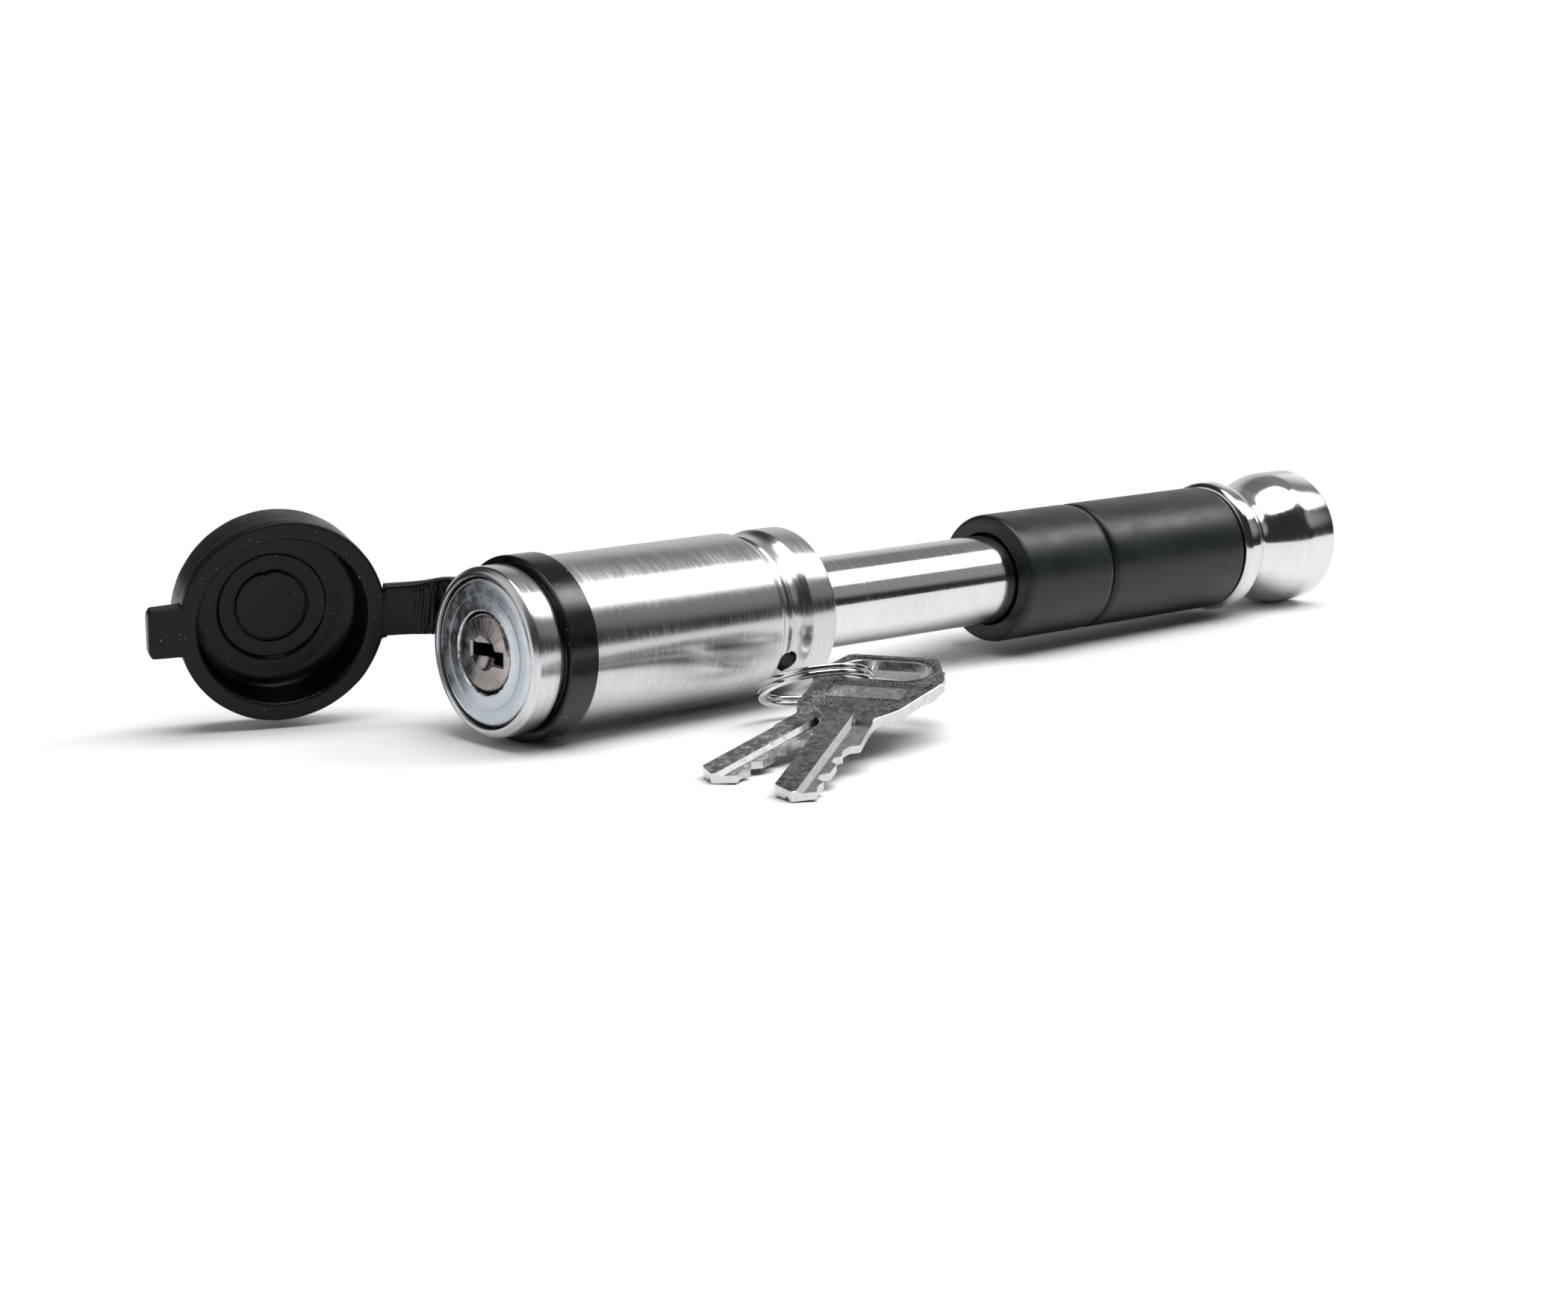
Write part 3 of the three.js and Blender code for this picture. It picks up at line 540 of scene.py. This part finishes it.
def make_head_rubber():
    """The ring that carries the strap, with a small root where the strap leaves it."""
    start, end = RUBBER_RING["start"], RUBBER_RING["end"]
    radius = RUBBER_RING["radius"]
    side = LOCK.inverted() @ CAP_SIDE
    root_middle = math.atan2(side[2][1], side[1][1]) + math.asin(STRAP["rise"][0] / radius)

    def reach(x, r, theta):
        turned_by = theta - root_middle
        across = abs(math.sin(turned_by)) * radius if math.cos(turned_by) > 0 else radius
        root = 0.9 * max(0.0, min(1.0, (6.2 - across) / 2.2)) if r > radius - 1 else 0.0
        dip = 0.04 * noise.noise(Vector((x * 0.3, math.cos(theta) * 3, math.sin(theta) * 3))) - 0.04
        return r + (root * root * (3 - 2 * root) if root else 0) + (dip if r > 14 else 0)

    ring = turn("head_rubber_ring", [
        (start, 13.5), (start, radius - 0.1, 0.5), (start + 0.12, radius, 0.5),
        (start + 2.8, radius), (end - 0.12, radius, 0.5), (end, radius - 0.1, 0.5),
        (end, 13.5),
    ], sides=240, reach=reach)
    stands_for(ring, "cap_ring", RING_RUBBER)


# ---- Dust cap ------------------------------------------------------------------------------
def soft_larger(a, b, blend):
    """The larger of two numbers, with a fillet between them."""
    share = max(0.0, min(1.0, 0.5 + 0.5 * (a - b) / blend))
    return b + (a - b) * share + blend * share * (1 - share)


def stub(theta, middle, half, length, corner):
    """How far a straight-sided tab reaches from the axis, in the direction theta."""
    turned_by = theta - middle
    if math.cos(turned_by) <= 0.2:
        return 0.0
    sideways = abs(math.tan(turned_by))
    square = min(length / math.cos(turned_by), half / max(1e-6, abs(math.sin(turned_by))))
    edge = math.hypot(length, half)
    nearness = max(0.0, 1 - abs(sideways - half / length) / 0.07)
    return square - (edge - length + corner) * 0.45 * nearness ** 2


def make_dust_cap():
    """The cap, made in its closed place: a cup whose rim runs out into a pull tab and the strap."""
    def reach(x, r, theta):
        if r <= CAP_RIM - 0.25 or x < CAP_MOUTH - 2.7:
            return r
        tab = stub(theta, math.pi, 4.2, 22, 0.9)
        root = stub(theta, STRAP["rise"][1] / CAP_RIM, STRAP["width"] / 2 - 0.5, 17.6, 0)
        far = soft_larger(soft_larger(CAP_RIM, tab, 1.1), root, 1.1)
        return r + max(0.0, far - CAP_RIM)

    degrees = set(range(0, 360, 2))
    degrees |= {180 + side * (8 + step * 0.4) for side in (-1, 1) for step in range(26)}
    degrees |= {(side * (10 + step * 0.5)) % 360 for side in (-1, 1) for step in range(20)}
    angles = [math.radians(value) for value in sorted(degrees)]
    back = CAP_MOUTH - 2.4
    cap = turn("dust_cap_cup", [
        (-4.5, 0), (-4.5, 9.5, 0.4), (-4.3, 10.2, 0.4), (-4.3, 15.4, 0.9), (-3.1, 16.8, 0.9),
        (back - 0.5, 16.8, 0.3), (back, 16.9, 0.2), (back, 17.1, 0.2),
        (CAP_MOUTH - 0.15, 17.1, 0.3), (CAP_MOUTH, 16.7, 0.35), (CAP_MOUTH, 14.4, 0.35),
        (CAP_MOUTH - 0.5, 13.98, 0.4), (CAP_MOUTH - 2.6, 14.1, 0.3), (CAP_MOUTH - 3.4, 14.1, 0.4),
        (-1.2, 13.95, 1.0), (-2.25, 12.2, 1.0), (-2.3, 9.2, 0.35), (-2.85, 8.8, 0.3),
        (-2.9, 6.25, 0.1), (-3.35, 6.2, 0.05), (-3.35, 0),
    ], sides=angles, matrix=CAP_FRAME, reach=reach, angle=40)
    roughen(cap, 0.05, 0.35)
    stands_for(cap, "dust_cap", RUBBER)


def make_cap_disc():
    """The disc in the bottom of the cap, with a ragged moulded edge."""
    def reach(x, r, theta):
        ragged = noise.noise(Vector((math.cos(theta) * 5, math.sin(theta) * 5, 1.7)))
        nick = 0.45 * max(0.0, 1 - abs(theta - 1.72) / 0.09)
        return r + (0.16 * ragged - nick if r > 5 else 0)

    disc = turn("cap_floor_disc", [
        (-3.3, 0), (-3.3, 5.95), (-2.95, 5.95, 0.1), (-2.82, 5.7, 0.15), (-2.76, 3), (-2.74, 0),
    ], sides=160, matrix=CAP_FRAME, reach=reach)
    stands_for(disc, "cap_disc", RUBBER)


def bezier(points, t):
    """A point on a cubic curve, and its direction."""
    a, b, c, d = points
    u = 1 - t
    place = a * u ** 3 + b * 3 * u * u * t + c * 3 * u * t * t + d * t ** 3
    along = (b - a) * 3 * u * u + (c - b) * 6 * u * t + (d - c) * 3 * t * t
    return place, along.normalized()


def creases(t, height, through):
    """Fine folds across the strap that slant both ways and so cross one another."""
    wander = 0.5 * noise.noise(Vector((t * 9, height * 0.5, 0)))
    return sum(noise.noise(Vector((t * 48 + slant * height + wander, height * 0.25 + slant, through)))
               for slant in (-1.2, 0, 1.2)) / 1.6


def strap_route():
    """The strap's curve, from the ring to the rim of the open cap, in the XY plane of the cap side."""
    to_side = CAP_SIDE.inverted() @ CAP_FRAME

    def swung(x, y):
        point = to_side @ (Vector((x, y, 0)) * MM) / MM
        return Vector((point.x, point.y))

    rim_x = CAP_MOUTH - 1.2
    start = Vector((STRAP["ring_x"], RUBBER_RING["radius"] - 0.3))
    reach = 5.4
    return (start, start + Vector((0, reach)), swung(rim_x, CAP_RIM + reach),
            swung(rim_x, CAP_RIM - 0.3))


def make_strap():
    """The strap between ring and cap: a flat band that is creased where it has been bent."""
    route = strap_route()
    start = route[0]
    low_rise, high_rise = STRAP["rise"]
    slices, around = 150, 56
    vertices = []
    for i in range(slices + 1):
        t = i / slices
        place, along = bezier(route, t)
        side = Vector((-along.y, along.x))
        bend = math.exp(-((t - 0.36) / 0.22) ** 2)
        half_width = STRAP["width"] / 2 + 0.5 * bend
        half_thick = STRAP["thick"] / 2 * (1 - 0.08 * bend)
        share = max(0.0, min(1.0, (place.y - start.y) / (route[3].y - start.y)))
        rise = low_rise + (high_rise - low_rise) * share + 0.25 * bend
        for k in range(around):
            theta = k * 2 * math.pi / around
            across, through = math.sin(theta), math.cos(theta)
            across = math.copysign(abs(across) ** 0.35, across)
            through = math.copysign(abs(through) ** 0.35, through)
            height = across * half_width
            crease = creases(t, height, through)
            ripple = (0.42 * crease * bend + 0.03 * crease) * (1 if through > 0 else 0.8)
            point = place + side * (through * half_thick + ripple * math.copysign(1, through))
            sag = start.y - math.sqrt(start.y ** 2 - (rise + height) ** 2)
            vertices.append((point.x, point.y - sag * max(0.0, 1 - share * 4), rise + height))
    faces = [tuple(range(around)), tuple(range(slices * around, (slices + 1) * around))]
    for i in range(slices):
        for k in range(around):
            m = (k + 1) % around
            low, high = i * around, (i + 1) * around
            faces.append((low + k, low + m, high + m, high + k))
    strap = make("cap_strap_band", vertices, faces, CAP_SIDE, 50)
    settle(strap)
    strap.data.materials.append(RUBBER)
    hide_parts("cap_strap")
    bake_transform(strap)


# ---- Pin and sleeves -----------------------------------------------------------------------
BALL_GROOVE = {"x": 35.5, "centre": 5.5, "radius": 2.35}
KNOB_FLARE = {"start": 179.4, "length": 11.4, "neck": 9.5, "swell": 3.14, "steps": 28}


def make_hitch_pin():
    """The pin: a grooved tip, a taper, the long shank, a collar, and a waisted knob."""
    middle, centre, radius = BALL_GROOVE["x"], BALL_GROOVE["centre"], BALL_GROOVE["radius"]
    groove = []
    for degrees in range(-75, 76, 15):
        angle = math.radians(degrees)
        groove.append((middle + radius * math.sin(angle), centre - radius * math.cos(angle)))
    flare = []
    for step in range(KNOB_FLARE["steps"] + 1):
        share = step / KNOB_FLARE["steps"]
        swell = (1 - math.cos(share * math.pi)) / 2
        flare.append((KNOB_FLARE["start"] + share * KNOB_FLARE["length"],
                      KNOB_FLARE["neck"] + swell * KNOB_FLARE["swell"]))
    pin = turn("hitch_pin_shank", [
        (32, 0), (32, 4.1, 0.2), (32.7, 4.9, 0.2), *groove, (42.6, 4.9, 0.4),
        (45.2, PIN_RADIUS, 0.5), (172, PIN_RADIUS), (172, 11.4, 0.3), (172.9, 12.2, 0.4),
        (175.4, 12.2, 0.25), (176.0, 11.85, 0.2), (176.5, 11.7, 0.15), (177.4, 10.3, 0.5), *flare,
        (196.5, 12.64, 0.35), (197.3, 11.8, 0.3), (197.3, 10, 0.2), (196.9, 8.8, 0.3), (196.9, 0),
    ], sides=240, angle=30)
    stands_for(pin, "hitch_pin", POLISHED)


def make_sleeve(node, start, end):
    sleeve = turn(f"{node}_body", [
        (start, 8.4, 0.15), (start, 10.8, 0.25), (start + 0.5, 11.42, 0.35),
        (start + 1.3, 11.54, 0.4), (end - 1.3, 11.54, 0.4), (end - 0.5, 11.42, 0.35),
        (end, 10.8, 0.25), (end, 8.4, 0.15),
    ], sides=200)
    roughen(sleeve, 0.02, 0.5, lambda p: math.hypot(p.y, p.z) > 11)
    stands_for(sleeve, node, BLACK_NYLON)


# ---- Keys and split ring -------------------------------------------------------------------
def key_outline():
    bitting = []
    for index, depth in enumerate((0.9, 2, 0.6, 1.7, 1.1)):
        x = 2.4 + index * 3.4
        bitting.append((x, -3.1, 0.12))
        if depth > 0.6:
            bitting += [(x + 0.8, depth - 3.7, 0.12), (x + 2.2, depth - 3.7, 0.12)]
    points = [
        (0, 0.3, 0.15), (1.8, -3.1, 0.15), *bitting, (19.7, -3.1, 0.1), (20.5, -4.6, 0.25),
        (26.6, -4.2, 0.8), (30, -4.1, 1.2), (34.5, -7.2, 1.2), (47.6, -11.2, 1.6),
        (57.2, -7.6, 1.2), (57.2, 7.6, 1.2), (47.6, 11.2, 1.6), (34.5, 7.2, 1.2), (30, 4.1, 1.2),
        (23, 4.1, 0.2), (22.7, 3.7, 0.1), (2.6, 3.7, 0.3),
    ]
    return rounded(points, True)


def slot_outline(near, far, reach):
    """A slot with round ends, clockwise."""
    middle, radius = (near + far) / 2, (far - near) / 2
    loop = []
    for turn_of, centre in ((0, reach - radius), (math.pi, radius - reach)):
        for step in range(13):
            angle = turn_of + math.pi - step * math.pi / 12
            loop.append(Vector((middle + radius * math.cos(angle), centre + radius * math.sin(angle))))
    return loop


def inside(point, loop):
    """Whether a 2-D point is inside a loop."""
    hit = False
    for index, a in enumerate(loop):
        b = loop[index - 1]
        if (a.y > point[1]) != (b.y > point[1]):
            if point[0] < (b.x - a.x) * (point[1] - a.y) / (b.y - a.y) + a.x:
                hit = not hit
    return hit


def prism(section, x0, x1, taper):
    """A bar along X with the given YZ section, which shrinks to its first point past x1."""
    count = len(section)
    vertices = [(x, y, z) for x in (x0, x1) for y, z in section]
    tip = len(vertices)
    vertices.append((x1 + taper, *section[0]))
    faces = [tuple(range(count))]
    faces += [(i, (i + 1) % count, count + (i + 1) % count, count + i) for i in range(count)]
    faces += [(count + i, count + (i + 1) % count, tip) for i in range(count)]
    return make("tool", vertices, faces, Matrix.Identity(4))


# Each pyramid's half width, the pocket's depth, the top's share of the width, and the top's wear
KNURL = {"half": 0.36, "depth": 0.18, "top": 0.5, "worn": 1.0}
PANEL_DEPTH = 0.25
CUT_CLEAR = 0.5  # how far a tool stands clear of the face that it cuts
GROOVE_END = 28.5


def knurl_points(region, blocked, side):
    """Small blunt pyramids on a diamond lattice, all inside the region and off the blocked loops,
    with the wear of each face."""
    vertices, faces, wear = [], [], []
    half = KNURL["half"]
    floor, top = KEY_HALF - KNURL["depth"] - 0.03, KEY_HALF - 0.015
    low_x, high_x = min(p.x for p in region), max(p.x for p in region)
    low_y, high_y = min(p.y for p in region), max(p.y for p in region)
    for row in range(int((high_y - low_y) / half) + 1):
        for column in range(int((high_x - low_x) / half) + 1):
            if (row + column) % 2:
                continue
            x, y = low_x + column * half, low_y + row * half
            corners = [(x + half, y), (x, y + half), (x - half, y), (x, y - half)]
            if not all(inside(c, region) for c in corners):
                continue
            if any(inside(c, loop) for c in corners for loop in blocked):
                continue
            first = len(vertices)
            for share, z in ((1, floor), (KNURL["top"], top)):
                for cx, cy in corners:
                    vertices.append((x + (cx - x) * share, y + (cy - y) * share, z * side))
            faces += [tuple(first + i for i in range(4)), tuple(first + 4 + i for i in range(4))]
            for i in range(4):
                j = (i + 1) % 4
                faces.append((first + i, first + j, first + 4 + j, first + 4 + i))
            wear += [0.0, KNURL["worn"], *[0.0] * 4]
    return vertices, faces, wear


def key_tools(bow, panel, margins):
    """What is cut from a key: the knurled pocket and the panel on each side, two grooves, a ledge."""
    tools = []
    for side in (1, -1):
        low, high = sorted((side * (KEY_HALF - KNURL["depth"]), side * (KEY_HALF + CUT_CLEAR)))
        tools.append(plate("tool", bow, margins, low, high))
        low, high = sorted((side * (KEY_HALF - PANEL_DEPTH), side * (KEY_HALF + 0.45)))
        tools.append(plate("tool", panel, [], low, high))
    top = KEY_HALF + 0.01
    tools.append(prism([(-0.3, top), (-1.25, top - 0.7), (-1.7, top), (-1.1, top + 0.4)],
                       -1, GROOVE_END, 3.0))
    tools.append(prism([(-1.45, top + 0.02), (-1.45, KEY_HALF - 0.5), (-12, KEY_HALF - 0.5),
                        (-12, top + 0.4)], -1, 29.2, 0.01))
    tools.append(prism([(1.9, -top), (1.2, -top + 0.7), (0.5, -top), (1.2, -top - 0.4)],
                       -1, GROOVE_END, 3.0))
    return tools


def key_wear(body):
    """The wear at each corner of a cut key: bare on edges and cuts, filmed over on the flats."""
    wear = []
    for polygon in body.polygons:
        upright = abs(polygon.normal.z)
        height = abs(polygon.center.z) / MM
        worn = 1.0 if upright < 0.5 else 0.85 if upright < 0.97 else 0.0
        if worn == 0 and height < KEY_HALF - 0.1:
            on_panel = abs(polygon.center.y) < 6.2 * MM and 38.6 * MM < polygon.center.x < 44.7 * MM
            worn = 0.5 if polygon.center.x < 32 * MM or on_panel else 0.05
        wear += [worn] * len(polygon.vertices)
    return wear


def key_mesh():
    """One key: tip at the origin, bow towards +X, cuts towards -Y."""
    outline = key_outline()
    slot = slot_outline(46.8, 54.8, 7.8)
    key = plate("key", outline, [slot], -KEY_HALF, KEY_HALF, chamfer=0.1)
    panel = [Vector(p) for p in ((38.7, -6.1), (44.6, -6.1), (44.6, 6.1), (38.7, 6.1))]
    bow = inset([p for p in outline if p.x > 35], 1.05)
    bow[0].x = bow[-1].x = 35.4
    margins = [inset(slot, 0.55), list(reversed(inset(panel, -0.3)))]
    combine(key, key_tools(bow, panel, margins), angle=20)
    vertices = [v.co / MM for v in key.data.vertices]
    faces = [tuple(p.vertices) for p in key.data.polygons]
    wear = key_wear(key.data)
    for side in (1, -1):
        points, quads, worn = knurl_points(bow, margins, side)
        first = len(vertices)
        vertices += [Vector(p) for p in points]
        faces += [tuple(first + i for i in quad) for quad in quads]
        wear += [value for value in worn for _ in range(4)]
    bpy.data.objects.remove(key)
    mesh = bpy.data.meshes.new("key")
    mesh.from_pydata([v * MM for v in vertices], [], faces)
    mesh.attributes.new("wear", "FLOAT", "CORNER").data.foreach_set("value", wear)
    face_outwards(mesh)
    return mesh


def make_keys():
    mesh = key_mesh()
    for node, (heading, lift, hole) in KEY_POSES.items():
        key = bpy.data.objects.new(f"{node}_blank", mesh.copy())
        bpy.context.scene.collection.objects.link(key)
        shade(key, 20)
        turned_to = Matrix.Rotation(math.radians(heading), 4, "Z")
        turned_to @= Matrix.Rotation(-math.radians(lift), 4, "Y")
        through_hole = Matrix.Translation(-Vector((*hole, 0)) * MM)
        key.matrix_world = Matrix.Translation(JOINTS[f"{node}_swing"]["pos_m"]) @ turned_to @ through_hole
        stands_for(key, node, KEY_NICKEL)


def ring_frame(node):
    """The frame of a ring that lies aslant: X is its axis, found from the CAD node's points."""
    low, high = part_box(node)
    centre = (low + high) / 2
    points = [vertex.co - centre for vertex in frame["nodes"][node].data.vertices]
    axis = Vector()
    for first in points[::7]:
        for second in points[3::29]:
            normal = first.cross(second)
            axis += normal if normal.z > 0 else -normal
    axis.normalize()
    across = Vector((0, 0, 1)).cross(axis).normalized()
    rotation = Matrix((axis, across, axis.cross(across))).transposed().to_4x4()
    return Matrix.Translation(centre) @ rotation


def make_split_ring():
    """Two turns of flat wire. The wire steps from one layer to the next between its two ends."""
    radius, layer = 9.0, 0.475
    half_wide, half_high = 0.6, 0.44
    section = rounded([(-half_wide, -half_high, 0.28), (half_wide, -half_high, 0.28),
                       (half_wide, half_high, 0.28), (-half_wide, half_high, 0.28)], True)
    gap, steps, heading = 9, 260, 205
    vertices = []
    for step in range(steps + 1):
        degrees = gap + (720 - 2 * gap) * step / steps
        rise = max(0.0, min(1.0, (degrees - (360 - gap)) / (2 * gap)))
        height = layer * (2 * rise * rise * (3 - 2 * rise) - 1)
        theta = math.radians(degrees + heading)
        for out, up in section:
            far = radius + out
            vertices.append((height + up, far * math.cos(theta), far * math.sin(theta)))
    count = len(section)
    faces = [tuple(range(count)), tuple(range(steps * count, (steps + 1) * count))]
    for step in range(steps):
        for i in range(count):
            j = (i + 1) % count
            low, high = step * count, (step + 1) * count
            faces.append((low + i, low + j, high + j, high + i))
    place = ring_frame("split_ring")
    steel = turned_metal("ring_steel", (0.80, 0.80, 0.81), (0.70, 0.70, 0.71), 0.10, 0.4,
                         scratches=0.1, matrix=place)
    stands_for(make("split_ring_wire", vertices, faces, place, 40), "split_ring", steel)


# ---- Inner pieces --------------------------------------------------------------------------
def dress_inner_pieces():
    """The CAD pieces that stay: they are inside the head."""
    finish_of = {"brushed_stainless": STAINLESS, "polished_steel": POLISHED, "zinc": ZINC,
                 "nickel_plug": NICKEL, "brass": BRASS, "spring_steel": SPRING_STEEL,
                 "rubber": RUBBER, "black_nylon": BLACK_NYLON, "nickel_key": KEY_NICKEL}
    for node, obj in frame["nodes"].items():
        obj.data.materials.clear()
        obj.data.materials.append(finish_of[SLOT_OF[node]])


# ---- Floor, light and camera ---------------------------------------------------------------
def make_floor():
    shader = Shader("pale_floor", Roughness=0.75)
    tone = shader.noise(scale=3, detail=2)
    shader.set(Base_Color=shader.mix(tone, (0.88, 0.88, 0.88), (0.92, 0.92, 0.92)))
    mesh = bpy.data.meshes.new("floor")
    sides, radius = 96, 25
    edge = [(radius * math.cos(i * 2 * math.pi / sides), radius * math.sin(i * 2 * math.pi / sides), 0)
            for i in range(sides)]
    mesh.from_pydata(edge, [], [tuple(range(sides))])
    mesh.materials.append(shader.material)
    floor = bpy.data.objects.new("floor", mesh)
    bpy.context.scene.collection.objects.link(floor)


def sky_patch(tree, direction, inner, outer, strength):
    """A soft round light in the sky: its radiance in each direction."""
    nodes = tree.nodes
    where = nodes.new("ShaderNodeTexCoord").outputs["Generated"]
    facing = nodes.new("ShaderNodeVectorMath")
    facing.operation = "DOT_PRODUCT"
    facing.inputs[1].default_value = Vector(direction).normalized()
    tree.links.new(where, facing.inputs[0])
    spread = nodes.new("ShaderNodeMapRange")
    spread.interpolation_type = "SMOOTHSTEP"
    spread.inputs[1].default_value = math.cos(math.radians(outer))
    spread.inputs[2].default_value = math.cos(math.radians(inner))
    spread.inputs[4].default_value = strength
    tree.links.new(facing.outputs["Value"], spread.inputs[0])
    return spread.outputs[0]


SKY_BASE = 0.03
SKY = [  # direction, inner and outer angle in degrees, radiance
    ((0.656, -0.27, 0.70), 13, 17, 2.6),
    ((0.656, -0.27, 0.70), 5, 11, 6.5),
    ((0.656, -0.60, 0.40), 6, 16, 0.3),
    ((0.656, 0.30, 0.70), 8, 34, 0.22),
    ((0.60, 0.80, 0.08), 8, 38, 0.7),
    ((0.92, 0.28, 0.28), 8, 22, 1.0),
    ((-0.75, 0.35, 0.45), 12, 40, 0.8),
]


def make_light():
    world = bpy.data.worlds.new("studio")
    bpy.context.scene.world = world
    world.use_nodes = True
    tree = world.node_tree
    background = tree.nodes["Background"]
    total = None
    for patch in SKY:
        value = sky_patch(tree, *patch)
        if total is not None:
            add = tree.nodes.new("ShaderNodeMath")
            tree.links.new(total, add.inputs[0])
            tree.links.new(value, add.inputs[1])
            value = add.outputs[0]
        total = value
    base = tree.nodes.new("ShaderNodeMath")
    base.inputs[1].default_value = SKY_BASE
    tree.links.new(total, base.inputs[0])
    tree.links.new(base.outputs[0], background.inputs["Strength"])
    background.inputs["Color"].default_value = (1, 1, 1, 1)
    sun = bpy.data.lights.new("soft_sun", "SUN")
    sun.energy = 2.7
    sun.angle = math.radians(52)
    lamp = bpy.data.objects.new("soft_sun", sun)
    bpy.context.scene.collection.objects.link(lamp)
    lamp.rotation_mode = "QUATERNION"
    lamp.rotation_quaternion = Vector((0.05, -0.2, 0.97)).to_track_quat("Z", "Y")


VIEW = {"target": (-0.016281, 0.007437, 0.006264), "azimuth": -41.99, "elevation": 11.45,
        "distance": 0.6, "lens": 80.4}


def make_camera():
    azimuth, elevation = math.radians(VIEW["azimuth"]), math.radians(VIEW["elevation"])
    back = Vector((math.sin(azimuth) * math.cos(elevation), -math.cos(azimuth) * math.cos(elevation),
                   math.sin(elevation)))
    data = bpy.data.cameras.new("camera")
    data.lens = VIEW["lens"]
    data.sensor_width = 36
    data.clip_start = 0.01
    data.clip_end = 100
    camera = bpy.data.objects.new("camera", data)
    bpy.context.scene.collection.objects.link(camera)
    camera.location = Vector(VIEW["target"]) + back * VIEW["distance"]
    camera.rotation_mode = "QUATERNION"
    camera.rotation_quaternion = (-back).to_track_quat("-Z", "Y")
    bpy.context.scene.camera = camera


# ---- The whole scene -----------------------------------------------------------------------
dress_inner_pieces()
make_barrel()
make_core()
make_key_plug()
make_head_rubber()
make_dust_cap()
make_cap_disc()
make_strap()
make_hitch_pin()
make_sleeve("sleeve_short", 113.3, 135.6)
make_sleeve("sleeve_long", 135.9, 171.7)
make_split_ring()
make_keys()
make_floor()
make_light()
make_camera()
bpy.context.scene.view_settings.view_transform = "Standard"
